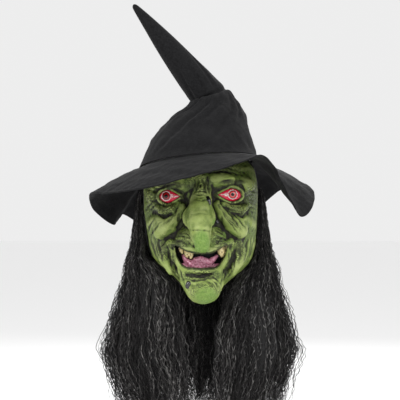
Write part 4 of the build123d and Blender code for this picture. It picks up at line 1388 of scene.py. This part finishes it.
class Lock:
    """A loose lock of hair: its place in the hank's disc, its crimp, its drift, its end and its tone."""

    def __init__(self, local):
        angle = local.uniform(0, 2 * math.pi)
        depth = local.uniform(0.62, 1.0) if local.random() < 0.85 else local.uniform(0.1, 0.6)
        self.place = np.array([math.cos(angle), math.sin(angle)]) * depth
        self.phase = local.uniform(0, ANY_PHASE)
        self.wave = local.uniform(10.5, 14.5)
        self.bottom = local.uniform(-200, -170)
        self.drift = local.uniform(0, ANY_PHASE)
        self.drift_wave = local.uniform(130, 260)
        self.tone = local.uniform(-0.12, 0.12)


def slow_sway(local, z):
    """A slow random sway along a strand."""
    return np.sin(2 * math.pi * z / local.uniform(42, 85) + local.uniform(0, ANY_PHASE))


def strand_path(local, lock, bundle):
    """The middle line of a strand, which falls with its lock, is crimped, and strays a little."""
    top = bundle.z[-1]
    bottom = max(lock.bottom + local.normal(0, 9) + (30 if local.random() < 0.12 else 0), HAIR_BOTTOM)
    z = np.arange(top - local.uniform(0, 8), bottom, -STRAND_STEP)
    n = len(z)
    fall = (top - z) / (top - bottom)
    spread = local.normal(0, 1, 2) * 0.11
    wild = 1.5 if local.random() < 0.08 else 1.0
    opening = (0.25 + 0.75 * smoothstep(fall, 0.0, 0.16)) * (1 - 0.25 * fall) * wild
    u = lock.place[0] + spread[0] * opening
    v = lock.place[1] + spread[1] * 2.0 * opening
    sway = 0.075 * np.sin(2 * math.pi * z / lock.drift_wave + lock.drift) * fall
    path = bundle.at(z, u + sway, v + sway * 0.5)
    wave = 2 * math.pi * z / (lock.wave * local.uniform(0.9, 1.1))
    phase = lock.phase + local.normal(0, 1.6)
    swell = CRIMP * local.uniform(0.6, 1.2) * smoothstep(fall, 0.02, 0.3)
    away = local.uniform(0, ANY_PHASE)
    path[:, 0] += swell * np.sin(wave + phase) * math.cos(away) + local.normal(0, 0.3, n)
    path[:, 1] += swell * np.sin(wave + phase + 0.6) * math.sin(away) + local.normal(0, 0.3, n)
    wander = np.cumsum(local.normal(0, 0.25, n)) * fall
    loose = smoothstep(fall, 0.08, 0.4)
    path[:, 0] += wander + 2.6 * loose * slow_sway(local, z)
    path[:, 1] += 1.6 * loose * slow_sway(local, z)
    return path


def fibre(local, path):
    """The points of a thin three-sided fibre round a path, thinner towards its end."""
    width = 0.5 * local.uniform(0.8, 1.25) * np.minimum(1, np.linspace(3.2, 0.35, len(path)))[:, None]
    way = np.gradient(path, axis=0)
    way /= np.linalg.norm(way, axis=1, keepdims=True)
    flat = local.uniform(0, math.pi)
    side = np.cross(way, (math.cos(flat), math.sin(flat), 0.0))
    side /= np.linalg.norm(side, axis=1, keepdims=True)
    up = np.cross(side, way)
    ring = [path + side * width, path - side * width, path + up * 0.55 * width]
    return np.stack(ring, axis=1).reshape(-1, 3)


def make_hair(name, bundle, strands, pieces, seed):
    """Crimped strands gathered in loose locks, each strand with its own tone, the grey ones partly painted
    highlight.
    """
    local = np.random.default_rng(seed)
    for piece in range(pieces):
        verts, quads, tones = [], [], []
        count = 0
        for s in range(strands // pieces):
            if s % LOCK_STRANDS == 0:
                lock = Lock(local)
            path = strand_path(local, lock, bundle)
            verts.append(fibre(local, path))
            quads.append(grid_faces(len(path), 3) + count)
            # the grey strands stand partly for the hair's own grey and partly for painted highlight
            tone = local.uniform(0.0, 0.62) if local.random() < 0.68 else local.uniform(0.74, 1.0)
            tones.append(np.full(len(path) * 3, np.clip(tone + lock.tone, 0, 1)))
            count += len(path) * 3
        hair = new_object(f"{name}_strands_{piece + 1}", np.vstack(verts), np.vstack(quads))
        set_attribute(hair, "tone", np.concatenate(tones))
        wrap(hair, HAIR_PAINT)
        hang(hair)
        if piece == 0:
            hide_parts(name)


def make_shade_core(name, bundle):
    """A dark tube that stands for the dense, shaded inside of a hank: painted shade, so that nothing shows
    between its strands.
    """
    rows, columns = 90, 72
    z = np.linspace(bundle.z[-1] - 4, -162, rows)[:, None]
    a = np.linspace(0, 2 * math.pi, columns, endpoint=False)[None, :]
    size = 0.74 * (1 - 0.85 * smoothstep(z, -80, -166))
    ridge = 1 + 0.05 * np.sin(a * 17 + z * 0.02) + 0.03 * np.sin(a * 29 - z * 0.05)
    core = bundle.at(z + 0 * a, size * ridge * np.cos(a), size * ridge * np.sin(a)).reshape(-1, 3)
    ends = [core[:columns].mean(0), core[-columns:].mean(0)]
    faces = grid_faces(rows, columns).tolist()
    first, last = rows * columns, (rows - 1) * columns
    faces += [(first, (j + 1) % columns, j) for j in range(columns)]
    faces += [(first + 1, last + j, last + (j + 1) % columns) for j in range(columns)]
    hank = new_object(name + "_shade_core", np.vstack([core, ends]), faces)
    # painted shade: the tube is painted near black
    set_attribute(hank, "tone", np.full(rows * columns + 2, 0.02))
    wrap(hank, HAIR_PAINT)
    hang(hank)


# ---------------------------------------------------------------- the whole object
EYE_PAINT, TOOTH_PAINT, FLESH_PAINT, WART_PAINT = eye_paint(), tooth_paint(), flesh_paint(), wart_paint()
HAT_PAINT, NET_PAINT, HAIR_PAINT = hat_paint(), net_paint(), hair_paint()

face, face_clay = make_face(FACE_STEP)
paint_masks(face)
wrap(face, latex_paint())
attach(face, "mask")
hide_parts("face_skin")
for eye_name, eye_shape in EYES.items():
    make_eye(eye_name, eye_shape, face_clay)
# Teeth: name, corners of their clay, shape and CAD node.
TEETH = [
    ("tooth_canine", (-37, -82, 74), (-22, -66, 94), canine, "tooth_right_canine"),
    ("tooth_double", (-30, -86, 66), (-7, -66, 92), double_tooth, "tooth_right_molar"),
    ("tooth_holed", (22, -86, 70), (43, -66, 98), left_molar, "tooth_left_premolar"),
    ("tooth_back", (35, -78, 78), (46, -64, 96), back_molar, "tooth_left_molar"),
]
for tooth, low, high, shape, node_name in TEETH:
    small_piece(tooth, low, high, TOOTH_STEP, shape, TOOTH_PAINT, node_name)
small_piece("tongue_flesh", (-36, -88, 48), (36, -62, 84), TONGUE_STEP, tongue_and_gums, FLESH_PAINT,
            "tongue", 0.35)
make_wart("wart_bridge", [(10.8, 165.5), (12.2, 162.5), (14.2, 157.5)], [3.8, 4.0, 2.5], face_clay)
make_wart("wart_nostril", [(24.5, 130.5), (26, 128.5)], [2.6, 2.8], face_clay)
make_wart("wart_chin", [(-18.2, 33.6), (-19.3, 30.4)], [4.7, 4.4], face_clay)
make_cap()
make_cone()
make_brim()
make_stitches()
for hair_side, hair_name in ((-1, "right"), (1, "left")):
    hank = side_bundle(hair_side)
    make_shade_core("hair_" + hair_name, hank)
    make_hair("hair_" + hair_name, hank, SIDE_STRANDS, SIDE_PIECES, 50 + hair_side)
for number, (hair_name, direction) in enumerate(BACK_TURNS.items()):
    hank = back_bundle(direction)
    make_shade_core(hair_name, hank)
    make_hair(hair_name, hank, BACK_STRANDS, BACK_PIECES, 60 + number)
CARRIED_OVER = ("mouth_lining", "cap_elastic", "hat_sweatband")
WEFTS = ("hair_weft_right", "hair_weft_left", "hair_weft_back")
for node_name in CARRIED_OVER + WEFTS:
    wrap(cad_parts[node_name], NET_PAINT)


# ---------------------------------------------------------------- floor, light, camera
def add_light(name, place, size, power):
    """A soft square light aimed at the mask."""
    lamp = bpy.data.lights.new(name, "AREA")
    lamp.size = size
    lamp.energy = power
    obj = bpy.data.objects.new(name, lamp)
    bpy.context.collection.objects.link(obj)
    obj.location = place
    obj.rotation_euler = (Vector(TARGET) - Vector(place)).to_track_quat("-Z", "Y").to_euler()


half = FLOOR_SIZE / 2
floor_mesh = bpy.data.meshes.new("floor")
corners = [(x, y, FLOOR_Z) for x, y in ((-half, -half), (half, -half), (half, half), (-half, half))]
floor_mesh.from_pydata(corners, [], [(0, 1, 2, 3)])
floor = bpy.data.objects.new("floor", floor_mesh)
bpy.context.collection.objects.link(floor)
floor_paint = Paint("floor_paint", 0.9)
floor_paint.shader.inputs["Base Color"].default_value = (0.96, 0.96, 0.96, 1)
wrap(floor, floor_paint.material)

for light in LIGHTS:
    add_light(*light)
world = bpy.data.worlds.new("studio")
bpy.context.scene.world = world
world.use_nodes = True
world.node_tree.nodes["Background"].inputs["Color"].default_value = (1, 1, 1, 1)
world.node_tree.nodes["Background"].inputs["Strength"].default_value = WORLD_STRENGTH

camera_data = bpy.data.cameras.new("camera")
camera_data.lens = CAMERA_LENS
camera = bpy.data.objects.new("camera", camera_data)
bpy.context.collection.objects.link(camera)
camera.location = (TARGET[0], -CAMERA_DISTANCE, TARGET[2])
camera.rotation_euler = (math.radians(90), 0, 0)
bpy.context.scene.camera = camera
bpy.context.scene.view_settings.view_transform = "Standard"
